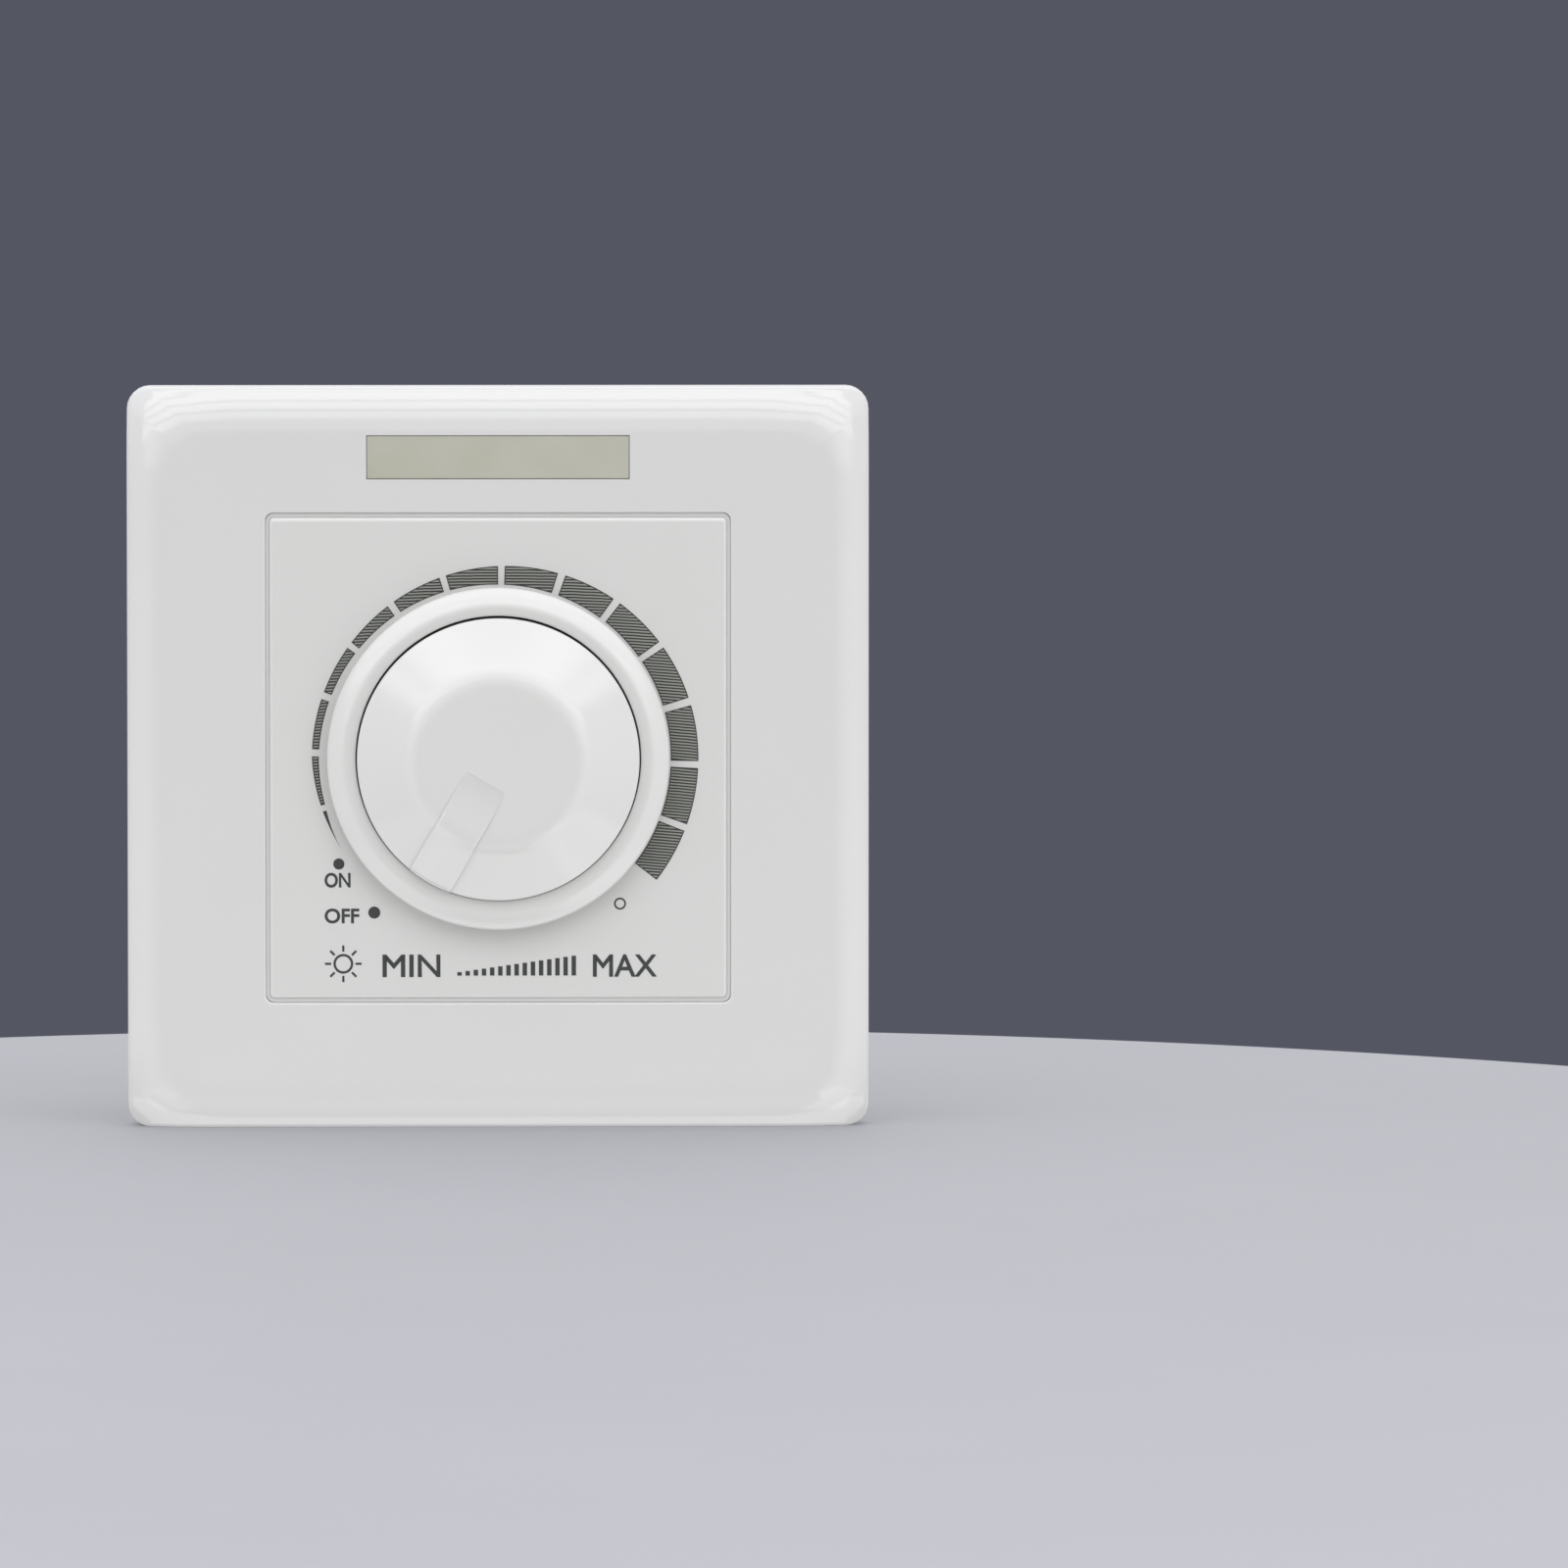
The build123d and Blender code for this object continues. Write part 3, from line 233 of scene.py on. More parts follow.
@dataclass(frozen=True)
class HatchedInk(Finish):
    """Screen-printed ink laid down in fine lines that bow gently over the scale.

    Attributes:
        paper: the colour that shows between the lines, as sRGB hex.
        pitch_mm: the spacing of the lines.
        bow_mm: how far below the scale's centre the lines have theirs.
    """

    paper: str = "868881"
    pitch_mm: float = 0.34
    bow_mm: float = 240.0

    def tint(self, tree: Tree, where: Socket) -> Socket:
        """Return the ink's colour, with lighter lines where it is thin."""
        centred = add_node(tree, "ShaderNodeMapping", {"Location": (0.0, 0.0, self.bow_mm * MM)}, {"Vector": where})
        lines = add_node(tree, "ShaderNodeTexWave", {
            "wave_type": "RINGS", "rings_direction": "Y", "Scale": math.pi / (10 * self.pitch_mm * MM),
            "Distortion": 0.6, "Detail": 1.0}, {"Vector": centred.outputs["Vector"]})
        gaps = add_node(tree, "ShaderNodeMapRange", {
            "interpolation_type": "SMOOTHSTEP", "From Min": 0.3, "From Max": 0.7}, {"Value": lines.outputs["Fac"]})
        ink = Finish.tint(self, tree, where)
        mix = {"data_type": "RGBA", 7: linear(self.paper)}
        return add_node(tree, "ShaderNodeMix", mix, {0: gaps.outputs["Result"], 6: ink}).outputs[2]


@dataclass(frozen=True)
class BandedEnamel(Finish):
    """Baked enamel on a small part, with coloured bands across X.

    Attributes:
        band: the bands' colour, as sRGB hex.
        pitch_mm: the spacing of the bands.
        share: the part of the pitch that a band takes.
    """

    band: str = "7A3B1E"
    pitch_mm: float = 1.4
    share: float = 0.35

    def tint(self, tree: Tree, where: Socket) -> Socket:
        """Return the enamel's colour with its bands."""
        across = add_node(tree, "ShaderNodeSeparateXYZ", {}, {"Vector": where}).outputs["X"]
        turns = add_node(tree, "ShaderNodeMath", {"operation": "DIVIDE", 1: self.pitch_mm * MM}, {0: across})
        phase = add_node(tree, "ShaderNodeMath", {"operation": "FRACT"}, {0: turns.outputs[0]})
        banded = add_node(tree, "ShaderNodeMath", {"operation": "LESS_THAN", 1: self.share}, {0: phase.outputs[0]})
        mix = {"data_type": "RGBA", 7: linear(self.band)}
        base = Finish.tint(self, tree, where)
        return add_node(tree, "ShaderNodeMix", mix, {0: banded.outputs[0], 6: base}).outputs[2]


@dataclass(frozen=True)
class WovenLaminate(Finish):
    """Glass-epoxy board under solder mask, with the weave's faint squares.

    Attributes:
        thread_mm: the spacing of the weave's threads.
        thread_depth_mm: the height of the weave under the mask.
    """

    thread_mm: float = 0.5
    thread_depth_mm: float = 0.003

    def relief(self, tree: Tree, where: Socket) -> Socket:
        """Return the height of the weave, in metres."""
        settings = {"Scale": math.pi / (10 * self.thread_mm * MM)}
        warp = add_node(tree, "ShaderNodeTexWave", {"bands_direction": "X", **settings}, {"Vector": where})
        weft = add_node(tree, "ShaderNodeTexWave", {"bands_direction": "Z", **settings}, {"Vector": where})
        both = add_node(tree, "ShaderNodeMath", {"operation": "MULTIPLY"}, {
            0: warp.outputs["Fac"], 1: weft.outputs["Fac"]})
        scaled = {"operation": "MULTIPLY", 1: self.thread_depth_mm * MM}
        return add_node(tree, "ShaderNodeMath", scaled, {0: both.outputs[0]}).outputs[0]


class Stock(Enum):
    """The finishes, each named for its material and how its surface was made."""

    # Polycarbonate from a mirror-polished mould: wet-looking gloss, slightly wavy reflections
    FRAME = MouldedPlastic("gloss_polycarbonate", "CACACA", "C8C8C8", 0.09, 0.03, 14, 0.5, 0.0006, 5.0, 0.003,
                           0.06, 1.58, 0.8)
    # The same resin from a duller insert: softer reflections, a touch cooler
    PANEL = MouldedPlastic("satin_polycarbonate", "CACAC9", "C8C8C6", 0.16, 0.03, 11, 0.35, 0.0008, 4.0, 0.001,
                           0.06, 1.58, 0.9)
    # ABS knob: whiter and warmer than the panel, soft gloss
    KNOB = MouldedPlastic("white_abs", "CCCBCA", "CAC9C8", 0.14, 0.03, 9, 0.4, 0.0006, 5.0, 0.001, 0.08,
                          1.58, 0.85)
    # Frosted acrylic bar that glows faintly green in the dark: milky grey-green with soft patches
    STRIP = MouldedPlastic("frosted_acrylic", "A0A092", "B2B1A6", 0.4, 0.05, 7.0, 0.3, 0.002, 3.0, 0.001, 0.2,
                           1.49)
    # Polycarbonate chassis off a spark-eroded mould: even matt grain
    CHASSIS = MouldedPlastic("matt_polycarbonate", "C9CAC8", "C3C5C3", 0.45, 0.05, 10, 0.35, 0.006)
    # Flame-retardant ABS box: eroded skin, slightly yellower
    HOUSING = MouldedPlastic("eroded_fr_abs", "CFCEC8", "C9C8C1", 0.5, 0.05, 12, 0.4, 0.009)
    # Nylon terminal block: waxy green
    TERMINAL = MouldedPlastic("green_nylon", "2F7A4B", "2A6E44", 0.4, 0.05, 5, 0.3, 0.003, glow=0.05)
    # Glass-filled nylon of the switch: dark, dry
    SWITCH = MouldedPlastic("glass_filled_nylon", "26282A", "2D3032", 0.5, 0.08, 3, 0.2, 0.004)
    # Phenolic card: brown, dull
    CARD = Finish("phenolic_card", "5A3B22", "49301C", 0.5, 0.05, 2, 0.15, 0.003)
    # Glass-epoxy board: green mask, the weave just shows
    BOARD = WovenLaminate("masked_glass_epoxy", "1F5A38", "1A4E31", 0.3, 0.05, 6)
    # Zinc-plated steel screws: pale, slightly blue, turned lines
    SCREW = WorkedMetal("zinc_plated_steel", "B8BCC4", "AEB4BA", 0.3, 0.08, 1.2, 0.1, 0.001)
    # Tinned drawn can: brighter, drawing lines
    CAN = WorkedMetal("drawn_tinplate", "C3C4C2", "B9BBBA", 0.28, 0.06, 3, 0.2, 0.001)
    # Hardened spring steel: grey, satin
    SPRING = WorkedMetal("tempered_spring_steel", "8E9094", "7F8286", 0.34, 0.06, 1.5, 0.1, 0.001)
    # Cast zinc bushing: dull grey with a sandy skin
    CASTING = WorkedMetal("cast_zinc", "A4A6A8", "989B9E", 0.42, 0.06, 2, 0.25, 0.004)
    # Stamped brass: yellow, rolled lines
    BRASS = WorkedMetal("rolled_brass", "C9A75A", "BC984C", 0.28, 0.06, 2, 0.15, 0.001)
    # Shrunk PVC sleeve on a capacitor: black, soft gloss
    SLEEVE = MouldedPlastic("shrunk_pvc_sleeve", "17181B", "1E2024", 0.3, 0.05, 3, 0.3, 0.002)
    # Boxed film capacitor: ochre polyester case
    FILM = MouldedPlastic("polyester_case", "B9812F", "AE7829", 0.4, 0.05, 4, 0.3, 0.003)
    # Transfer-moulded epoxy: black, matt with sparkle of filler
    EPOXY = MouldedPlastic("moulded_epoxy", "1B1B1C", "222223", 0.55, 0.06, 2, 0.12, 0.005)
    # Resistor enamel: beige with brown bands
    RESISTOR = BandedEnamel("banded_enamel", "C8AE82", "BFA476", 0.35, 0.05, 1, 0.2, 0.003)
    # Glass diode: amber with a dark band
    DIODE = BandedEnamel("amber_glass", "B4561E", "A04A18", 0.12, 0.03, 0.8, 0.2, 0.0005, "1A1A1A", 3.0, 0.2)
    # Screen-printed ink: grey-green, hatched on the scale
    HATCH = HatchedInk("hatched_screen_ink", "181A18", "141614", 0.5, 0.05, 3, 0.2, 0.002)
    # The same ink laid solid, for outlines, dots and letters
    INK = Finish("solid_screen_ink", "2C302E", "343836", 0.5, 0.05, 0.7, 0.15, 0.002)


NODE_STOCK = {
    "mounting_plate": Stock.CHASSIS, "rear_housing": Stock.HOUSING, "housing_screws": Stock.SCREW,
    "circuit_board": Stock.BOARD, "pot_bushing": Stock.CASTING, "pot_can": Stock.CAN, "pot_washer": Stock.SPRING,
    "pot_nut": Stock.BRASS, "pot_track": Stock.CARD, "pot_terminals": Stock.BRASS,
    "switch_housing": Stock.SWITCH, "switch_contacts": Stock.BRASS, "terminal_block": Stock.TERMINAL,
    "terminal_clamps": Stock.BRASS, "terminal_screws": Stock.SCREW, "electrolytic_capacitor": Stock.SLEEVE,
    "film_capacitor": Stock.FILM, "power_transistor": Stock.EPOXY, "bridge_rectifier": Stock.EPOXY,
    "fuse": Stock.EPOXY, "resistors": Stock.RESISTOR, "zener_diode": Stock.DIODE, "pot_shaft": Stock.BRASS,
    "retaining_clip": Stock.SPRING, "knob_spring": Stock.SPRING, "wiper_disc": Stock.SWITCH,
    "wiper_leaf": Stock.BRASS, "switch_disc": Stock.SWITCH, "switch_bridge": Stock.BRASS,
}


class Paint:
    """Makes each finish once and hands it out."""

    def __init__(self) -> None:
        """Start with no material made."""
        self.made: dict[Stock, bpy.types.Material] = {}

    def __call__(self, stock: Stock) -> bpy.types.Material:
        """Return the material of a finish."""
        if stock not in self.made:
            self.made[stock] = stock.value.make()
        return self.made[stock]


class Mould:
    """A bmesh under work, with the operations that several pieces share. Its points are in metres."""

    def __init__(self) -> None:
        """Start with an empty mesh."""
        self.bm = bmesh.new()

    def ring(self, width: float, height: float, radius: float, level: float, corner: int = 6,
             side: int = 25) -> list:
        """Add a closed loop of edges round a rounded rectangle parallel to the wall.

        Args:
            width: its size along X, in mm.
            height: its size along Z, in mm.
            radius: its corner radius, in mm.
            level: its level, in mm.
            corner: edges round each corner.
            side: cuts in each side.

        Returns:
            The loop's edges.
        """
        quad = bmesh.ops.create_grid(self.bm, x_segments=1, y_segments=1, size=0.5)["verts"]
        place = (Matrix.Translation((0, -level * MM, 0)) @ Matrix.Rotation(math.pi / 2, 4, "X")
                 @ Matrix.Diagonal((width * MM, height * MM, 1, 1)))
        bmesh.ops.transform(self.bm, matrix=place, verts=quad)
        rounded = bmesh.ops.bevel(self.bm, geom=quad, offset=radius * MM, offset_type="OFFSET", segments=corner,
                                  profile=0.5, affect="VERTICES", material=-1)
        face = rounded["verts"][0].link_faces[0]
        sides = sorted(face.edges, key=lambda e: e.calc_length())[-4:]
        bmesh.ops.subdivide_edges(self.bm, edges=sides, cuts=side)
        edges = list(face.edges)
        bmesh.ops.delete(self.bm, geom=[face], context="FACES_ONLY")
        return edges

    def fillet(self, width: float, height: float, corner: float, level: float, radius: float,
               steps: int = 4) -> list[list]:
        """Add the loops of a rounded edge, from the face at level down to the straight side.

        Args:
            width: the side's size along X, in mm.
            height: the side's size along Z, in mm.
            corner: the side's corner radius, in mm.
            level: the face's level, in mm.
            radius: the edge's radius, in mm.
            steps: how many bands the edge gets.

        Returns:
            The loops, as lists of edges.
        """
        loops = []
        for out, rise in arc((0, 0), (radius, radius), 90, 0, steps):
            short = radius - out
            loops.append(self.ring(width - 2 * short, height - 2 * short, corner - short, level - radius + rise))
        return loops

    def bridge(self, near: list, far: list, cuts: int = 0) -> None:
        """Join two loops with a band of faces.

        One loop is drawn off its level while they are joined, since loops in one plane can be joined the wrong
        way round.

        Args:
            near: the edges of one loop.
            far: the edges of the other.
            cuts: how many times the band is cut along its length.
        """
        drawn, away = list({v for e in far for v in e.verts}), Vector((0, -20 * MM, 0))
        bmesh.ops.translate(self.bm, verts=drawn, vec=away)
        spokes = bmesh.ops.bridge_loops(self.bm, edges=near + far)["edges"]
        bmesh.ops.translate(self.bm, verts=drawn, vec=-away)
        if cuts:
            bmesh.ops.subdivide_edges(self.bm, edges=spokes, cuts=cuts, use_grid_fill=True)

    def loft(self, loops: list[list]) -> None:
        """Bridge each loop to the next."""
        for near, far in zip(loops, loops[1:]):
            self.bridge(near, far)

    def turn(self, profile: list[tuple[float, float]], steps: int = 128, closed: bool = False) -> None:
        """Spin a profile about the knob's axis.

        Args:
            profile: points of radius and level, in mm.
            steps: faces round the axis.
            closed: whether the last point is joined to the first.
        """
        points = [self.bm.verts.new((r * MM, -level * MM, 0)) for r, level in profile]
        pairs = list(zip(points, points[1:])) + ([(points[-1], points[0])] if closed else [])
        edges = [self.bm.edges.new(pair) for pair in pairs]
        bmesh.ops.spin(self.bm, geom=points + edges, cent=(0, 0, 0), axis=(0, 1, 0), dvec=(0, 0, 0),
                       angle=2 * math.pi, steps=steps, use_merge=True)
        bmesh.ops.remove_doubles(self.bm, verts=self.bm.verts[:], dist=0.001 * MM)

    def block(self, low: Iterable[float], high: Iterable[float]) -> list:
        """Add a box between two corners in mm, given as X, level and Z, and return its vertices."""
        (x0, l0, z0), (x1, l1, z1) = low, high
        place = (Matrix.Translation(Vector((x0 + x1, -l0 - l1, z0 + z1)) * MM / 2)
                 @ Matrix.Diagonal((abs(x1 - x0) * MM, abs(l1 - l0) * MM, abs(z1 - z0) * MM, 1)))
        return bmesh.ops.create_cube(self.bm, size=1, matrix=place)["verts"]

    def round_edges(self, edges: list, setback: float, steps: int = 4) -> None:
        """Round edges, each new face starting setback mm from the old edge."""
        bmesh.ops.bevel(self.bm, geom=edges, offset=setback * MM, offset_type="OFFSET", segments=steps,
                        profile=0.5, affect="EDGES", material=-1, clamp_overlap=True)

    def finish(self, name: str, materials: list[bpy.types.Material], recalc: bool = True) -> bpy.types.Object:
        """Turn the mesh into an object at the origin.

        Args:
            name: the object's name.
            materials: its materials, in the order of the faces' indices.
            recalc: whether the faces are turned outwards first.

        Returns:
            The object, shaded smooth except across sharp edges.
        """
        bmesh.ops.remove_doubles(self.bm, verts=self.bm.verts[:], dist=0.0005 * MM)
        if recalc:
            bmesh.ops.recalc_face_normals(self.bm, faces=self.bm.faces[:])
        mesh = bpy.data.meshes.new(name)
        self.bm.to_mesh(mesh)
        self.bm.free()
        mesh.shade_smooth()
        mesh.set_sharp_from_angle(angle=SMOOTH_ANGLE)
        for material in materials:
            mesh.materials.append(material)
        piece = bpy.data.objects.new(name, mesh)
        bpy.context.scene.collection.objects.link(piece)
        return piece


def flatten(piece: bpy.types.Object) -> None:
    """Let wide faces rule the shading, so that flat faces look flat beside their rounded edges."""
    normals = piece.modifiers.new("normals", "WEIGHTED_NORMAL")
    normals.keep_sharp = True


def arc(centre: tuple[float, float], radii: tuple[float, float], start: float, end: float,
        steps: int) -> list[tuple[float, float]]:
    """Return points along an elliptical arc.

    Args:
        centre: the ellipse's centre.
        radii: its half axes.
        start: the first point's angle, in degrees.
        end: the last point's angle, in degrees.
        steps: how many stretches the arc has.

    Returns:
        steps + 1 points of radius and level.
    """
    angles = [math.radians(start + (end - start) * i / steps) for i in range(steps + 1)]
    return [(centre[0] + radii[0] * math.cos(a), centre[1] + radii[1] * math.sin(a)) for a in angles]


def place(piece: bpy.types.Object, body: str, slot: str, nodes: Iterable[str] = ()) -> None:
    """Let a piece ride on its body and stand for its nodes."""
    flatten(piece)
    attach(piece, body)
    if nodes:
        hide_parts(*nodes)
    log.info("%s: %d faces on %s", piece.name, len(piece.data.polygons), body)


def without(piece: bpy.types.Object, cutter: bpy.types.Object) -> None:
    """Cut one closed object out of another, and remove the cutter."""
    cut = piece.modifiers.new("cut", "BOOLEAN")
    cut.operation, cut.solver, cut.object = "DIFFERENCE", "EXACT", cutter
    bpy.context.view_layer.update()
    graph = bpy.context.evaluated_depsgraph_get()
    mesh = bpy.data.meshes.new_from_object(piece.evaluated_get(graph))
    piece.modifiers.clear()
    old, piece.data = piece.data, mesh
    mesh.name = piece.name
    bpy.data.meshes.remove(old)
    bpy.data.objects.remove(cutter)


@dataclass
class FaceFrame:
    """The pillowed cover. Sizes are in mm and those of the node that it stands for."""

    size: float = 86.0
    corner: float = 2.5
    front: float = 9.0
    wall: float = 2.0
    rim_setback: float = 0.43
    pillow_margin: float = 6.5
    pillow_radius: float = 12.0
    pillow_corner: float = 16.0
    cavity_corner: float = 4.0
    cavity_edge: float = 2.5
    window: tuple[float, float] = (53.9, 56.85)
    window_corner: float = 0.9
    window_setback: float = 0.22
    skirt: float = 1.4
    skirt_level: float = 4.8
    slot: tuple[float, float] = (30.5, 5.1)
    slot_z: float = 34.85
    slot_edge: float = 0.18
    arm: tuple[float, float] = (7.0, 1.2)
    arm_at: tuple[float, float] = (24.0, 39.5)
    arm_level: float = 0.8
    bump: tuple[float, float] = (0.3, 2.0)
    bands: int = 24

    def level(self, x: float, z: float) -> float:
        """Return the pillow's level at a place on the front, in mm."""
        half = self.size / 2 + self.pillow_margin
        core = half - self.pillow_corner
        dx, dz = abs(x) - core, abs(z) - core
        beyond = math.hypot(max(dx, 0), max(dz, 0)) + min(max(dx, dz), 0)
        inset = self.pillow_corner - beyond
        short = max(self.pillow_radius - inset, 0)
        return self.front - self.pillow_radius + math.sqrt(self.pillow_radius**2 - short**2)

    def shell(self) -> Mould:
        """Loft the cover: out of its foot, over the front, into the window and round the hollow behind."""
        mould = Mould()
        width, height = self.window
        cavity = self.size - 2 * self.wall
        ceiling = self.front - self.wall
        foot = mould.ring(self.size, self.size, self.corner, 0)
        rim = mould.ring(self.size, self.size, self.corner, self.front)
        sill = mould.ring(width, height, self.window_corner, self.front)
        mould.bridge(rim, sill, self.bands)
        for vert in mould.bm.verts:
            if abs(vert.co.y + self.front * MM) < EMBED:
                vert.co.y = -self.level(vert.co.x / MM, vert.co.z / MM) * MM
        mould.bridge(foot, rim)
        grown = 2 * self.skirt
        loops = [
            sill,
            mould.ring(width, height, self.window_corner, self.skirt_level),
            mould.ring(width + grown, height + grown, self.window_corner + self.skirt, self.skirt_level),
            mould.ring(width + grown, height + grown, self.window_corner + self.skirt, ceiling),
        ]
        loops += mould.fillet(cavity, cavity, self.cavity_corner, ceiling, self.cavity_edge)
        loops.append(mould.ring(cavity, cavity, self.cavity_corner, 0))
        loops.append(foot)
        mould.loft(loops)
        mould.round_edges([e for e in rim if e.is_valid], self.rim_setback, 5)
        mould.round_edges([e for e in sill if e.is_valid], self.window_setback, 4)
        for side in (-1, 1):
            for x in (-self.arm_at[0], self.arm_at[0]):
                self.add_arm(mould, x, side)
        return mould

    def add_arm(self, mould: Mould, x: float, side: int) -> None:
        """Add one snap arm with its bump, at this X and on this side in Z."""
        width, thick = self.arm
        inner = self.arm_at[1]
        low_x, high_x = x - width / 2, x + width / 2
        ceiling = self.front - self.wall
        mould.block((low_x, self.arm_level, side * inner), (high_x, ceiling + 0.1, side * (inner + thick)))
        mould.block((low_x, self.arm_level, side * (inner - self.bump[0])),
                    (high_x, self.bump[1], side * (inner + 0.1)))

    def slot_cutter(self) -> bpy.types.Object:
        """Return the block that opens the slot for the locator strip."""
        mould = Mould()
        half_w, half_h = self.slot[0] / 2, self.slot[1] / 2
        mould.block((-half_w, self.front - self.wall - 1, self.slot_z - half_h),
                    (half_w, self.front + 1, self.slot_z + half_h))
        return mould.finish("slot_cutter", [])

    def soften_slot(self, piece: bpy.types.Object) -> None:
        """Break the slot's front edge, as a polished mould leaves it."""
        mould = Mould()
        mould.bm.from_mesh(piece.data)
        half_w, half_h = self.slot[0] / 2 + 0.01, self.slot[1] / 2 + 0.01
        edges = [
            e for e in mould.bm.edges
            if all(abs(v.co.y + self.front * MM) < 0.001 * MM and abs(v.co.x) < half_w * MM
                   and abs(v.co.z - self.slot_z * MM) < half_h * MM for v in e.verts)
        ]
        mould.round_edges(edges, self.slot_edge, 2)
        mould.bm.to_mesh(piece.data)
        mould.bm.free()
        piece.data.shade_smooth()
        piece.data.set_sharp_from_angle(angle=SMOOTH_ANGLE)

    def build(self, paint: Paint) -> bpy.types.Object:
        """Make the cover and dress it.

        Args:
            paint: the finishes.

        Returns:
            The piece.
        """
        piece = self.shell().finish("gloss_face_frame", [paint(Stock.FRAME)])
        without(piece, self.slot_cutter())
        self.soften_slot(piece)
        place(piece, "frame", "frame_plastic", ["face_frame"])
        return piece


@dataclass
class LocatorStrip:
    """The frosted bar above the panel. Sizes are in mm."""

    size: tuple[float, float] = (30.45, 5.05)
    z: float = 34.85
    front: float = 8.88
    back: float = 7.0
    lip: float = 0.6
    lip_level: float = 6.2
    edge: float = 0.15

    def build(self, paint: Paint) -> bpy.types.Object:
        """Make the bar with its lip and dress it.

        Args:
            paint: the finishes.

        Returns:
            The piece.
        """
        mould = Mould()
        half_w, half_h = self.size[0] / 2, self.size[1] / 2
        verts = mould.block((-half_w, self.back - 0.1, self.z - half_h), (half_w, self.front, self.z + half_h))
        top = [e for e in {e for v in verts for e in v.link_edges}
               if all(abs(v.co.y + self.front * MM) < 0.001 * MM for v in e.verts)]
        mould.round_edges(top, self.edge, 3)
        mould.block((-half_w - self.lip, self.lip_level, self.z - half_h - self.lip),
                    (half_w + self.lip, self.back, self.z + half_h + self.lip))
        piece = mould.finish("frosted_locator_strip", [paint(Stock.STRIP)])
        place(piece, "frame", "strip_plastic", ["locator_strip"])
        return piece


@dataclass
class ControlPanel:
    """The insert panel with the collar round the knob and the dish behind it. Sizes are in mm."""

    size: tuple[float, float] = (53.1, 55.85)
    corner: float = 0.6
    edge: float = 0.45
    front: float = 9.0
    foot: float = 2.5
    ledge: tuple[float, float, float] = (0.38, 0.47, 8.65)
    wall: float = 1.6
    front_wall: float = 2.0
    bore: float = 16.5
    bore_play: float = 0.1
    lip: float = 0.17
    crest: tuple[float, float] = (17.45, 12.2)
    bend: tuple[float, float] = (18.15, 17.0)
    slope_end: tuple[float, float] = (19.6, 25.0)
    collar_foot: float = 19.85
    margin: float = 0.25
    dish_level: float = 5.2
    dish_floor: float = 1.6
    dish_wall: float = 1.6
    hub_bore: float = 3.6
    leg: tuple[float, float] = (1.4, 5.0)
    leg_z: float = 14.0
    hook: tuple[float, float] = (0.6, 0.9)
    hook_level: float = 0.25
    steps: int = 128

    def collar(self) -> list[tuple[float, float]]:
        """Return the turned profile, from the collar's foot over its crest into the dish and out behind."""
        radius, level = self.crest
        outer, tilt = [], 0.0
        for end, turn in (self.bend, self.slope_end, (self.collar_foot, 90.0)):
            low, high = math.radians(tilt), math.radians(turn)
            curve = (end - radius) / (math.sin(high) - math.sin(low))
            centre = (radius - curve * math.sin(low), level - curve * math.cos(low))
            outer += arc(centre, (curve, curve), 90 - tilt, 90 - turn, 6)
            (radius, level), tilt = outer[-1], turn
        outer = [(self.collar_foot + self.margin, self.front), (self.collar_foot, self.front), *reversed(outer)]
        inner = arc((self.bore + self.lip, self.crest[1] - self.lip), (self.lip, self.lip), 90, 180, 4)
        back = self.dish_level - self.dish_floor
        behind = self.front - self.front_wall
        return [*outer, *inner, (self.bore, self.dish_level), (self.hub_bore, self.dish_level),
                (self.hub_bore, back), (self.bore + self.dish_wall, back), (self.bore + self.dish_wall, behind)]

    def build(self, paint: Paint) -> bpy.types.Object:
        """Make the panel and dress it.

        Args:
            paint: the finishes.

        Returns:
            The piece.
        """
        mould = Mould()
        mould.turn(self.collar(), self.steps)
        bore = [v for v in mould.bm.verts if self.bore - 0.01 < math.hypot(v.co.x, v.co.z) / MM
                < self.bore + self.lip + 0.01]
        bmesh.ops.translate(mould.bm, verts=bore, vec=(0, 0, self.bore_play * MM))
        ends = [e for e in mould.bm.edges if e.is_boundary]
        foot_loop = [e for e in ends if abs(e.verts[0].co.y + self.front * MM) < EMBED]
        back_loop = [e for e in ends if e not in foot_loop]
        width, height = self.size
        behind = self.front - self.front_wall
        inner = (width - 2 * self.wall, height - 2 * self.wall, 0.3)
        short = 2 * (self.edge + self.margin)
        loops = [mould.ring(width - short, height - short, self.margin, self.front)]
        loops += mould.fillet(width, height, self.corner, self.front, self.edge)
        mould.bridge(foot_loop, loops[0])
        side_out, end_out, step = self.ledge
        wide = (width + 2 * side_out, height + 2 * end_out, self.corner + side_out)
        loops += [
            mould.ring(width, height, self.corner, step),
            mould.ring(*wide, step),
            mould.ring(*wide, self.foot),
            mould.ring(*inner, self.foot),
            mould.ring(*inner, behind),
        ]
        mould.loft(loops)
        mould.bridge(loops[-1], back_loop)
        for side in (-1, 1):
            for z in (-self.leg_z, self.leg_z):
                self.add_leg(mould, side, z)
        piece = mould.finish("satin_front_panel", [paint(Stock.PANEL)])
        place(piece, "root", "panel_plastic", ["front_panel"])
        return piece

    def add_leg(self, mould: Mould, side: int, z: float) -> None:
        """Add one leg with its hook, on this side in X and at this Z."""
        outer = self.size[0] / 2
        thick, wide = self.leg
        low_z, high_z = z - wide / 2, z + wide / 2
        mould.block((side * (outer - thick), self.hook_level, low_z), (side * outer, self.foot + 0.1, high_z))
        mould.block((side * (outer - 0.1), self.hook_level, low_z),
                    (side * (outer + self.hook[0]), self.hook_level + self.hook[1], high_z))


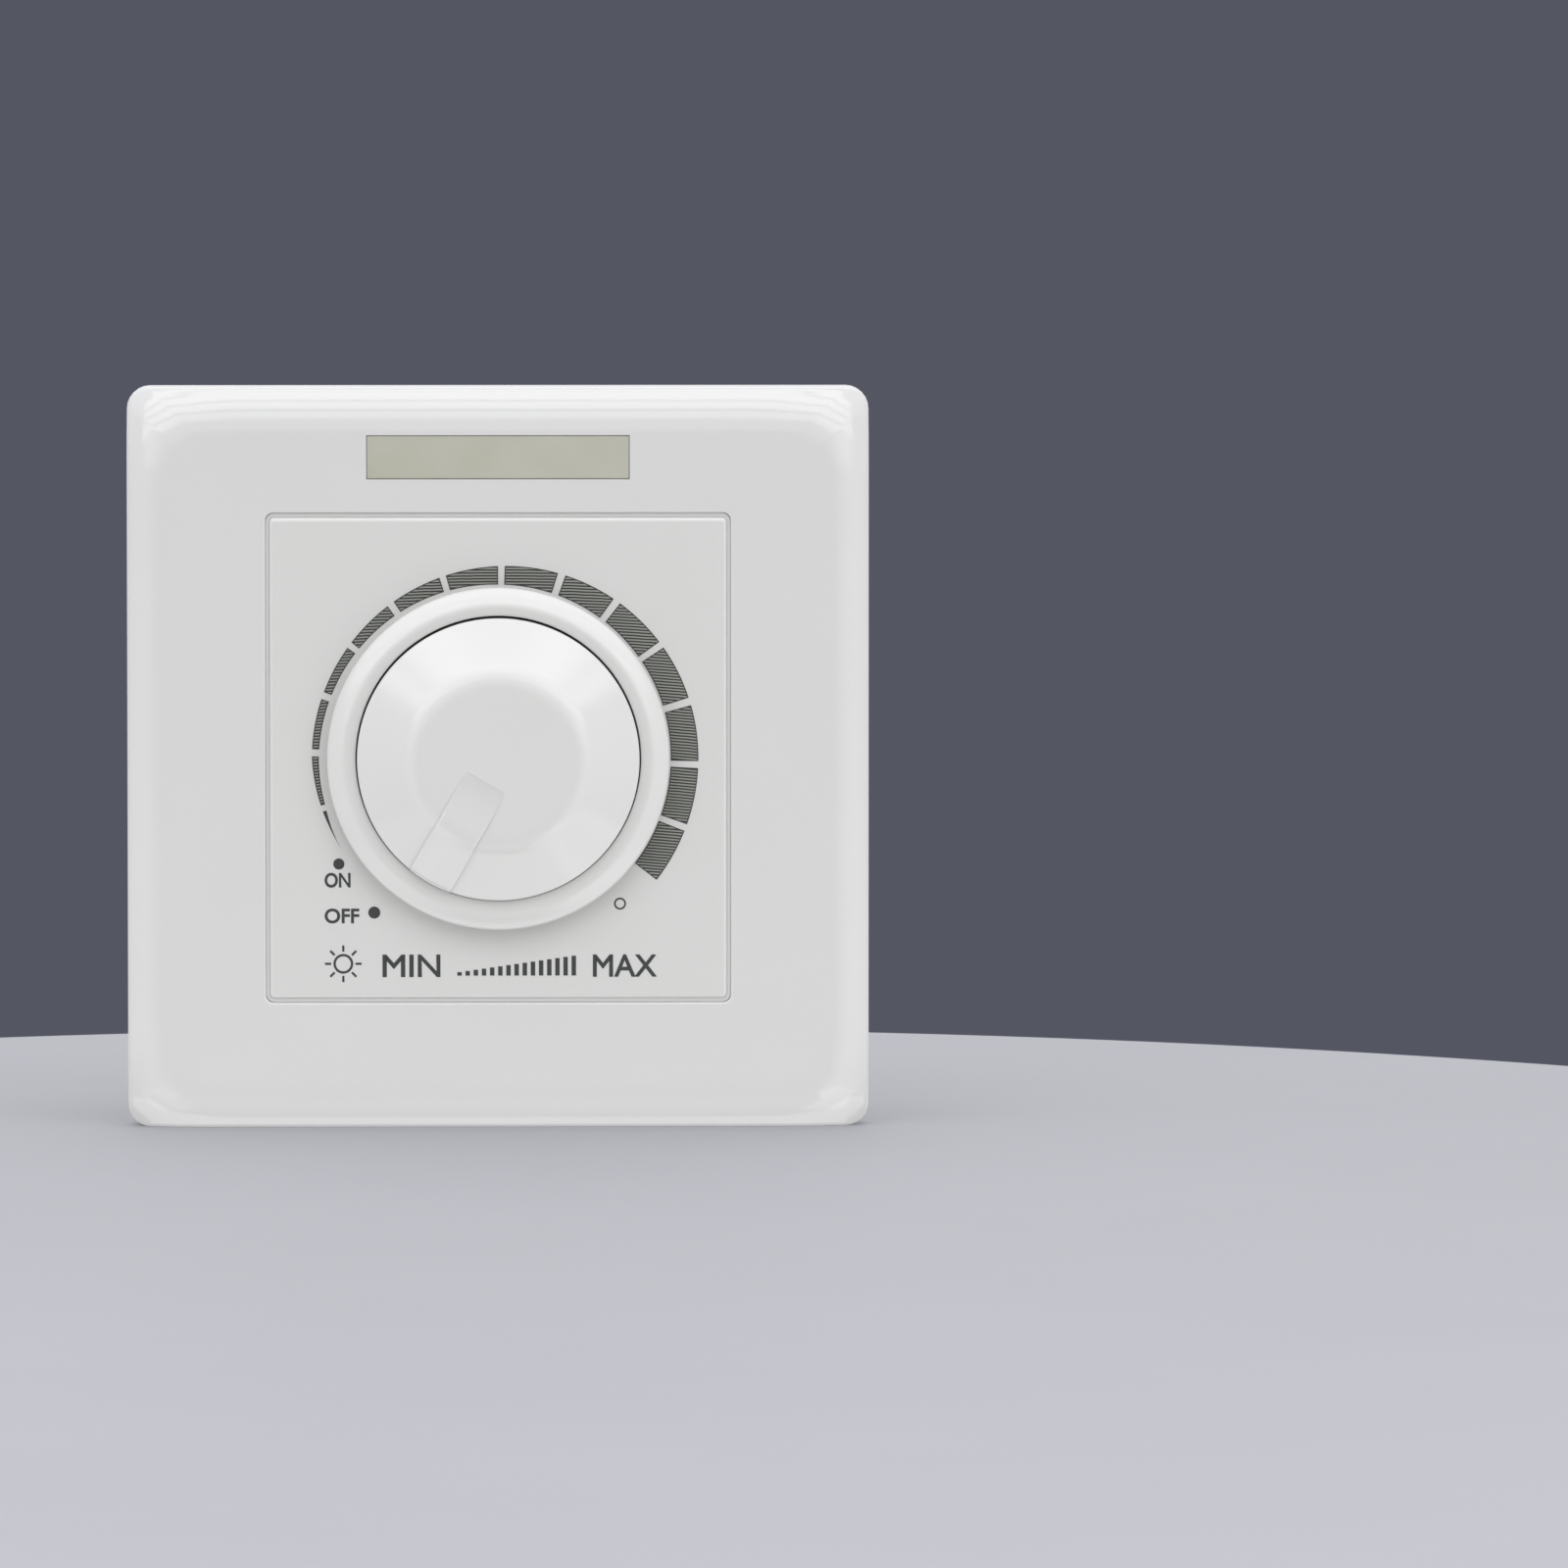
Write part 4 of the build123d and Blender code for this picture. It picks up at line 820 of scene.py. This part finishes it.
@dataclass
class Knob:
    """The turning knob: a flat crown, a sloping rim and a raised pointer. Sizes are in mm."""

    radius: float = 16.34
    crown_level: float = 16.0
    crown: float = 9.85
    blend: float = 6.5
    rim_level: float = 12.95
    rim_round: float = 0.25
    skirt_level: float = 5.5
    wall: float = 1.6
    cap_level: float = 12.9
    hub: float = 5.2
    hub_level: float = 9.05
    bore: float = 3.02
    bore_end: float = 14.02
    web: tuple[float, float, int] = (1.0, 10.05, 6)
    pointer_angle: float = 29.5
    pointer_width: float = 5.3
    pointer_start: float = 2.9
    pointer_rise: float = 0.34
    pointer_end: float = 16.38
    pointer_foot: float = 12.4
    pointer_edge: float = 0.3
    steps: int = 160

    def slope(self) -> float:
        """Return the slope's fall, in mm of level per mm of radius."""
        return (self.crown_level - self.rim_level) / (self.radius - self.crown)

    def crown_profile(self, steps: int = 12) -> list[tuple[float, float]]:
        """Return the profile from the crown's centre to the start of the rim's rounding."""
        tilt = math.atan(self.slope())
        setback = self.blend * math.tan(tilt / 2)
        centre = (self.crown - setback, self.crown_level - self.blend)
        return arc(centre, (self.blend, self.blend), 90, 90 - math.degrees(tilt), steps)

    def rim_profile(self, steps: int = 6) -> list[tuple[float, float]]:
        """Return the profile round the rim."""
        tilt = math.atan(self.slope())
        setback = self.rim_round * math.tan((math.pi / 2 - tilt) / 2)
        centre = (self.radius - self.rim_round, self.rim_level - setback)
        return arc(centre, (self.rim_round, self.rim_round), 90 - math.degrees(tilt), 0, steps)

    def level(self, radius: float) -> float:
        """Return the cap's level at a radius, without the pointer."""
        tilt = math.atan(self.slope())
        setback = self.blend * math.tan(tilt / 2)
        start, end = self.crown - setback, self.crown + setback * math.cos(tilt)
        if radius <= start:
            return self.crown_level
        if radius >= end:
            return self.crown_level - self.slope() * (radius - self.crown)
        return self.crown_level - self.blend + math.sqrt(self.blend**2 - (radius - start) ** 2)

    def body(self, mould: Mould) -> None:
        """Turn the cap with its skirt, hub and bore, and add the webs."""
        inner = self.radius - self.wall
        flat = [(self.crown / 8 * i, self.crown_level) for i in range(7)]
        outline = [
            *flat, *self.crown_profile(), *self.rim_profile(), (self.radius, self.skirt_level),
            (inner, self.skirt_level), (inner, self.cap_level), (self.hub, self.cap_level),
            (self.hub, self.hub_level), (self.bore, self.hub_level), (self.bore, self.bore_end), (0, self.bore_end),
        ]
        mould.turn(outline, self.steps)
        thick, web_level, count = self.web
        for i in range(count):
            verts = mould.block((self.hub - 0.1, web_level, -thick / 2), (inner + 0.1, self.cap_level + 0.1, thick / 2))
            bmesh.ops.rotate(mould.bm, verts=verts, cent=(0, 0, 0),
                             matrix=Matrix.Rotation(2 * math.pi * i / count, 3, "Y"))

    def pointer(self, mould: Mould) -> None:
        """Add the pointer: its foot's grid is drawn up to its top, and the top's edges are rounded."""
        foot = bmesh.ops.create_grid(mould.bm, x_segments=40, y_segments=8, size=0.5)["verts"]
        for vert in foot:
            across = vert.co.y * self.pointer_width
            end = math.sqrt(self.pointer_end**2 - across**2)
            vert.co = Vector((self.pointer_start + (vert.co.x + 0.5) * (end - self.pointer_start), 0, across)) * MM
        drawn = bmesh.ops.extrude_face_region(mould.bm, geom=list({f for v in foot for f in v.link_faces}))["geom"]
        top = [g for g in drawn if isinstance(g, bmesh.types.BMVert)]
        for vert in mould.bm.verts:
            along = math.hypot(vert.co.x, vert.co.z) / MM
            vert.co.y = -(self.pointer_foot if along > self.radius - self.wall else self.cap_level + 1) * MM
        for vert in top:
            along = vert.co.x / MM
            share = min((along - self.pointer_start) / (self.crown - self.pointer_start), 1)
            lift = self.pointer_rise * share**1.5
            vert.co.y = -(self.level(math.hypot(along, vert.co.z / MM)) + lift) * MM
        faces = {g for g in drawn if isinstance(g, bmesh.types.BMFace)}
        beyond = (self.pointer_start + EMBED / MM) * MM
        rim = [e for e in {e for f in faces for e in f.edges}
               if not faces.issuperset(e.link_faces) and max(v.co.x for v in e.verts) > beyond]
        mould.round_edges(rim, self.pointer_edge, 3)

    def build(self, paint: Paint) -> bpy.types.Object:
        """Make the knob and dress it.

        Args:
            paint: the finishes.

        Returns:
            The piece.
        """
        mould = Mould()
        self.pointer(mould)
        turn = Matrix.Rotation(math.radians(90 + self.pointer_angle), 3, "Y")
        bmesh.ops.rotate(mould.bm, verts=mould.bm.verts[:], cent=(0, 0, 0), matrix=turn)
        self.body(mould)
        piece = mould.finish("white_knob", [paint(Stock.KNOB)])
        place(piece, "knob", "knob_plastic", ["knob"])
        return piece


class Mark(Enum):
    """The round marks on the panel: place in X and Z, diameter and line width, all in mm."""

    ON_DOT = (-18.5, -12.3, 1.3, 0.0)
    OFF_DOT = (-14.4, -17.95, 1.4, 0.0)
    FULL_RING = (14.1, -16.95, 1.4, 0.2)


@dataclass(frozen=True)
class Word:
    """A generic word on the panel.

    Attributes:
        text: the word.
        left: its left end in X, in mm.
        base: its lower edge in Z, in mm.
        cap: its letters' height, in mm.
        length: its length in X, in mm.
    """

    text: str
    left: float
    base: float
    cap: float
    length: float


@dataclass
class PanelPrint:
    """The ink on the panel: the scale, its marks, the words and a lamp sign. Sizes are in mm."""

    level: float = 9.0
    thick: float = 0.02
    centre: tuple[float, float] = (0.0, 0.0)
    outline: float = 0.13
    bold: float = 0.06
    blocks: list[tuple[float, float]] = field(default_factory=lambda: [
        (75, 90.5), (92.75, 108.5), (110.75, 126.25), (128.25, 144), (146.25, 162), (164, 180), (182, 198),
        (200.25, 216), (218.25, 234.25), (236.25, 252.5), (254.75, 271), (273, 289.5), (291.5, 307.75)])
    sliver: tuple[float, float] = (60.5, 73.0)
    words: list[Word] = field(default_factory=lambda: [
        Word("ON", -20.1, -15.0, 1.62, 2.9), Word("OFF", -20.1, -19.15, 1.62, 3.9),
        Word("MIN", -13.4, -25.4, 2.5, 6.6), Word("MAX", 11.0, -25.4, 2.5, 7.3)])
    lamp: tuple[float, float, float] = (-18.0, -23.9, 1.15)
    rays: int = 8
    ramp: tuple[float, float, float, float] = (-5.0, 9.2, -25.3, 2.3)

    def inner(self, angle: float) -> float:
        """Return the scale's inner radius at an angle from six o'clock."""
        return 20.8 - 0.7 * min(max((angle - 90) / 90, 0), 1) - 0.1 * min(max((angle - 180) / 90, 0), 1)

    def outer(self, angle: float) -> float:
        """Return the scale's outer radius at an angle from six o'clock."""
        low = 21.05 + 0.55 * min(max((angle - 63) / 27, 0), 1)
        rise = 1.6 * (0.5 - 0.5 * math.cos(math.pi * min(max((angle - 110) / 160, 0), 1)))
        return low + rise

    def at(self, angle: float, radius: float) -> Vector:
        """Return a place on the panel, from the angle past six o'clock and the radius."""
        turn = math.radians(angle)
        return Vector((self.centre[0] - radius * math.sin(turn), -self.level,
                       self.centre[1] - radius * math.cos(turn))) * MM

    def sector(self, mould: Mould, start: float, end: float, tip: bool = False) -> None:
        """Add one block of the scale, with its darker outline.

        Args:
            mould: the mesh.
            start: the first angle, in degrees.
            end: the last angle, in degrees.
            tip: whether the block tapers to a point at its start.
        """
        verts = bmesh.ops.create_grid(mould.bm, x_segments=12, y_segments=4, size=0.5)["verts"]
        for vert in verts:
            angle = start + (vert.co.x + 0.5) * (end - start)
            low, high = self.inner(angle), self.outer(angle)
            share = (vert.co.x + 0.5) if tip else 1.0
            middle = 21.05 if tip else (low + high) / 2
            vert.co = self.at(angle, middle + vert.co.y * (high - low) * share)
        mould.bm.normal_update()
        solid = list({f for v in verts for f in v.link_faces})
        if not tip:
            solid = bmesh.ops.inset_region(mould.bm, faces=solid, thickness=self.outline * MM, use_boundary=True,
                                           use_even_offset=True)["faces"]
        for face in solid:
            face.material_index = 1

    def raise_ink(self, mould: Mould) -> None:
        """Give flat shapes on the panel the ink's thickness, closed at the back just inside the panel."""
        for vert in mould.bm.verts:
            vert.co.y = -(self.level - EMBED / MM) * MM
        drawn = bmesh.ops.extrude_face_region(mould.bm, geom=mould.bm.faces[:])["geom"]
        upper = [g for g in drawn if isinstance(g, bmesh.types.BMVert)]
        bmesh.ops.translate(mould.bm, verts=upper, vec=(0, -self.thick * MM - EMBED, 0))

    def scale(self, paint: Paint) -> None:
        """Print the scale's blocks and the sliver that leads into them."""
        mould = Mould()
        for start, end in self.blocks:
            self.sector(mould, start, end)
        self.sector(mould, *self.sliver, tip=True)
        self.raise_ink(mould)
        piece = mould.finish("scale_print", [paint(Stock.HATCH), paint(Stock.INK)])
        place(piece, "root", "panel_plastic")

    def marks(self, paint: Paint) -> None:
        """Print the two dots and the open ring."""
        mould = Mould()
        for mark in Mark:
            x, z, across, line = mark.value
            spot = Matrix.Translation((x * MM, 0, z * MM)) @ Matrix.Rotation(math.pi / 2, 4, "X")
            made = bmesh.ops.create_circle(mould.bm, cap_ends=not line, segments=32, radius=across / 2 * MM,
                                           matrix=spot)["verts"]
            if line:
                hole = bmesh.ops.create_circle(mould.bm, segments=32, radius=(across / 2 - line) * MM,
                                               matrix=spot)["verts"]
                edges = list({e for v in made + hole for e in v.link_edges})
                bmesh.ops.bridge_loops(mould.bm, edges=edges)
        self.raise_ink(mould)
        place(mould.finish("mark_print", [paint(Stock.INK)]), "root", "panel_plastic")

    def word(self, mould: Mould, word: Word) -> None:
        """Add one word, as outlines filled flat.

        Args:
            mould: the mesh.
            word: the text with its place and size.
        """
        curve = bpy.data.curves.new("letters", "FONT")
        curve.body, curve.resolution_u = word.text, 6
        holder = bpy.data.objects.new("letters", curve)
        mesh = bpy.data.meshes.new_from_object(holder)
        low_x, high_x = (pick(v.co.x for v in mesh.vertices) for pick in (min, max))
        low_y, high_y = (pick(v.co.y for v in mesh.vertices) for pick in (min, max))
        fit = Matrix.Diagonal((word.length / (high_x - low_x), word.cap / (high_y - low_y), 1, 1))
        stand = Matrix.Translation((word.left, 0, word.base)) @ Matrix.Rotation(math.pi / 2, 4, "X")
        mesh.transform(Matrix.Scale(MM, 4) @ stand @ fit @ Matrix.Translation((-low_x, -low_y, 0)))
        known = set(mould.bm.verts)
        mould.bm.from_mesh(mesh)
        self.embolden(mould, [v for v in mould.bm.verts if v not in known])
        bpy.data.objects.remove(holder)
        bpy.data.curves.remove(curve)
        bpy.data.meshes.remove(mesh)

    def embolden(self, mould: Mould, letters: list) -> None:
        """Move the outlines of flat letters outwards by the ink's spread.

        Args:
            mould: the mesh.
            letters: the letters' vertices.
        """
        mould.bm.normal_update()
        shifts = {}
        for vert in letters:
            sides = []
            for loop in (e.link_loops[0] for e in vert.link_edges if e.is_boundary):
                along = loop.link_loop_next.vert.co - loop.vert.co
                sides.append(along.cross(loop.face.normal).normalized())
            if len(sides) == 2:
                shifts[vert] = (sides[0] + sides[1]) / max(1 + sides[0].dot(sides[1]), 0.6)
        for vert, shift in shifts.items():
            vert.co += shift * self.bold * MM

    def lettering(self, paint: Paint) -> None:
        """Print the words, the ramp between them and the lamp sign."""
        mould = Mould()
        for word in self.words:
            self.word(mould, word)
        self.lamp_sign(mould)
        self.ramp_sign(mould)
        self.raise_ink(mould)
        place(mould.finish("word_print", [paint(Stock.INK)]), "root", "panel_plastic")

    def lamp_sign(self, mould: Mould) -> None:
        """Add a ring with short rays, the common sign for a lamp's brightness."""
        x, z, radius = self.lamp
        spot = Matrix.Translation((x * MM, 0, z * MM)) @ Matrix.Rotation(math.pi / 2, 4, "X")
        edges = []
        for r in (radius, radius - 0.28):
            made = bmesh.ops.create_circle(mould.bm, segments=40, radius=r * MM, matrix=spot)["verts"]
            edges += {e for v in made for e in v.link_edges}
        bmesh.ops.bridge_loops(mould.bm, edges=edges)
        for i in range(self.rays):
            ray = bmesh.ops.create_grid(mould.bm, x_segments=1, y_segments=1, size=0.5)["verts"]
            shape = Matrix.Translation((radius + 0.62, 0, 0)) @ Matrix.Diagonal((0.72, 0.26, 1, 1))
            turned = Matrix.Rotation(2 * math.pi * i / self.rays, 4, "Z") @ shape
            bmesh.ops.transform(mould.bm, matrix=spot @ Matrix.Scale(MM, 4) @ turned, verts=ray)

    def ramp_sign(self, mould: Mould) -> None:
        """Add a row of bars that grow from the low end of the range to the high end."""
        left, right, base, height = self.ramp
        count = 15
        pitch = (right - left) / count
        for i in range(count):
            bar = bmesh.ops.create_grid(mould.bm, x_segments=1, y_segments=1, size=0.5)["verts"]
            tall = height * (0.12 + 0.88 * (i + 1) / count)
            shape = (Matrix.Translation((left + (i + 0.5) * pitch, 0, base + tall / 2))
                     @ Matrix.Rotation(math.pi / 2, 4, "X") @ Matrix.Diagonal((pitch * 0.55, tall, 1, 1)))
            bmesh.ops.transform(mould.bm, matrix=Matrix.Scale(MM, 4) @ shape, verts=bar)

    def build(self, paint: Paint) -> None:
        """Print everything.

        Args:
            paint: the finishes.
        """
        self.scale(paint)
        self.marks(paint)
        self.lettering(paint)


class Works:
    """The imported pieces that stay: the chassis, the housing and everything inside."""

    def dress(self, paint: Paint) -> None:
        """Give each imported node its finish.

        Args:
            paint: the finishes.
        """
        for name, stock in NODE_STOCK.items():
            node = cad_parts[name]
            node.data.materials.clear()
            node.data.materials.append(paint(stock))
            log.info("%s: dressed in %s", name, stock.value.name)


@dataclass(frozen=True)
class Softbox:
    """One soft lamp of the studio, given by the directions that it fills as the dimmer sees it.

    Attributes:
        name: the lamp's name.
        azimuths: from and to, in degrees, 0 straight in front and 90 to the right.
        elevations: from and to, in degrees above the horizon.
        radiance: how bright its face looks.
        reach: how far away it hangs, in metres.
        mirrored: whether glossy faces reflect it.
    """

    name: str
    azimuths: tuple[float, float]
    elevations: tuple[float, float]
    radiance: float
    reach: float = 1.2
    mirrored: bool = True


@dataclass
class Studio:
    """The plain floor, the soft lights and the camera. Lengths are in metres, angles in degrees."""

    floor_z: float = -0.043
    floor_half: tuple[float, float] = (0.29, 0.6)
    floor_back: float = 0.15
    floor_depth: float = 0.25
    photo_px: int = 1600
    px_per_mm: float = 8.80
    plate_px: tuple[float, float] = (508.5, 773.0)
    elevation: float = 3.0
    distance: float = 1.5
    sensor: float = 36.0
    plate_level: float = 0.009
    lens_hole: tuple[float, float] = (36.0, 10.0)
    tent: tuple[float, float] = (0.1, 0.87)
    roof: float = 1.8
    ground: float = 0.5
    lamps: list[Softbox] = field(default_factory=lambda: [
        Softbox("key_1", (-42, 42), (49.5, 59), 1.3), Softbox("key_2", (-42, 42), (39, 47), 1.3),
        Softbox("key_3", (-42, 42), (28.5, 36.5), 1.3), Softbox("key_4", (-42, 42), (18, 26), 1.3),
        Softbox("key_skirt", (-38, 38), (5, 18), 0.45), Softbox("right_softbox", (21, 62), (-28, 14), 0.2),
        Softbox("low_softbox", (-50, 50), (-74, -48), 0.95), Softbox("low_left", (-48, -20), (-44, -26), 0.45),
        Softbox("low_right", (20, 48), (-44, -26), 0.8),
        Softbox("low_fill", (-40, 40), (-42, -12), 0.55, 0.22, False)])

    def camera(self) -> None:
        """Set the camera so that the plate falls where the photograph has it."""
        width = self.photo_px / self.px_per_mm * MM
        data = bpy.data.cameras.new("camera")
        data.sensor_width, data.lens = self.sensor, self.sensor * self.distance / width
        tilt = math.radians(self.elevation)
        middle = Vector((0, -self.plate_level, 0))
        back = Vector((0, -math.cos(tilt), math.sin(tilt)))
        up = Vector((0, math.sin(tilt), math.cos(tilt)))
        right_px, down_px = (p - self.photo_px / 2 for p in self.plate_px)
        aim = middle - Vector((1, 0, 0)) * right_px / self.px_per_mm * MM + up * down_px / self.px_per_mm * MM
        camera = bpy.data.objects.new("camera", data)
        camera.location = middle + back * self.distance
        camera.rotation_mode = "QUATERNION"
        camera.rotation_quaternion = (aim - camera.location).to_track_quat("-Z", "Y")
        bpy.context.scene.collection.objects.link(camera)
        bpy.context.scene.camera = camera

    def softbox(self, box: "Softbox") -> None:
        """Hang a rectangular lamp that faces the dimmer and fills its span of directions."""
        turn, tilt = (math.radians(sum(span) / 2) for span in (box.azimuths, box.elevations))
        width, height = (2 * box.reach * math.tan(math.radians(span[1] - span[0]) / 2)
                         for span in (box.azimuths, box.elevations))
        lamp = bpy.data.lights.new(box.name, "AREA")
        lamp.shape, lamp.size, lamp.size_y = "RECTANGLE", width, height
        lamp.energy = box.radiance * math.pi * width * height
        away = Vector((math.sin(turn) * math.cos(tilt), -math.cos(turn) * math.cos(tilt), math.sin(tilt)))
        holder = bpy.data.objects.new(box.name, lamp)
        holder.location = away * box.reach
        holder.visible_glossy = box.mirrored
        holder.rotation_mode = "QUATERNION"
        holder.rotation_quaternion = (-away).to_track_quat("-Z", "Y")
        bpy.context.scene.collection.objects.link(holder)

    def world(self) -> None:
        """Hang the light tent: slate to the eye, white cloth all round for the light, dark where the lens looks in."""
        world = bpy.data.worlds.new("studio")
        bpy.context.scene.world = world
        world.use_nodes = True
        tree = world.node_tree
        tree.nodes.clear()
        direction = add_node(tree, "ShaderNodeTexCoord").outputs["Generated"]
        parts = add_node(tree, "ShaderNodeSeparateXYZ", {}, {"Vector": direction}).outputs
        rim, core = (-math.cos(math.radians(angle)) for angle in self.lens_hole)
        cloth = add_node(tree, "ShaderNodeMapRange", {
            "interpolation_type": "SMOOTHSTEP", "From Min": core, "From Max": rim, "To Min": self.tent[0],
            "To Max": self.tent[1]}, {"Value": parts["Y"]}).outputs["Result"]
        roof = add_node(tree, "ShaderNodeMapRange", {
            "interpolation_type": "SMOOTHSTEP", "From Min": 0.3, "From Max": 0.9, "To Min": 1.0,
            "To Max": self.roof}, {"Value": parts["Z"]}).outputs["Result"]
        ground = add_node(tree, "ShaderNodeMapRange", {
            "interpolation_type": "SMOOTHSTEP", "From Min": -0.8, "From Max": -0.3, "To Min": self.ground,
            "To Max": 1.0}, {"Value": parts["Z"]}).outputs["Result"]
        high = add_node(tree, "ShaderNodeMath", {"operation": "MULTIPLY"}, {0: cloth, 1: roof}).outputs[0]
        strength = add_node(tree, "ShaderNodeMath", {"operation": "MULTIPLY"}, {0: high, 1: ground}).outputs[0]
        seen = add_node(tree, "ShaderNodeBackground", {"Color": linear("545662"), "Strength": 1.0})
        light = add_node(tree, "ShaderNodeBackground", {"Color": linear("FBFBFD")}, {"Strength": strength})
        rays = add_node(tree, "ShaderNodeLightPath")
        mixed = add_node(tree, "ShaderNodeMixShader", {}, {
            0: rays.outputs["Is Camera Ray"], 1: light.outputs[0], 2: seen.outputs[0]})
        add_node(tree, "ShaderNodeOutputWorld", {}, {"Surface": mixed.outputs[0]})

    def floor(self) -> None:
        """Lay the pale rounded floor. Only the camera sees it, so light reaches the dimmer from below as well."""
        mould = Mould()
        wide, deep = self.floor_half
        middle = Matrix.Translation((0, self.floor_back - deep, self.floor_z - self.floor_depth / 2))
        bmesh.ops.create_cone(mould.bm, cap_ends=True, segments=256, radius1=1, radius2=1, depth=self.floor_depth,
                              matrix=middle @ Matrix.Diagonal((wide, deep, 1, 1)))
        top = [e for e in mould.bm.edges if all(abs(v.co.z - self.floor_z) < MM for v in e.verts)]
        mould.round_edges(top, 1.5, 4)
        paint = Finish("painted_plinth", "9C9DA3", "97989E", 0.6, 0.05, 60, 1.5, 0.01)
        floor = mould.finish("floor", [paint.make()])
        floor.visible_diffuse = floor.visible_glossy = floor.visible_shadow = False

    def build(self) -> None:
        """Set up everything that isn't the dimmer."""
        self.floor()
        self.world()
        for box in self.lamps:
            self.softbox(box)
        self.camera()
        view = bpy.context.scene.view_settings
        view.view_transform, view.look = "Standard", "None"


def main() -> None:
    """Build the dimmer's pieces in order, then the studio round it."""
    paint = Paint()
    FaceFrame().build(paint)
    LocatorStrip().build(paint)
    ControlPanel().build(paint)
    Knob().build(paint)
    PanelPrint().build(paint)
    Works().dress(paint)
    Studio().build()


if __name__ == "__main__":
    main()
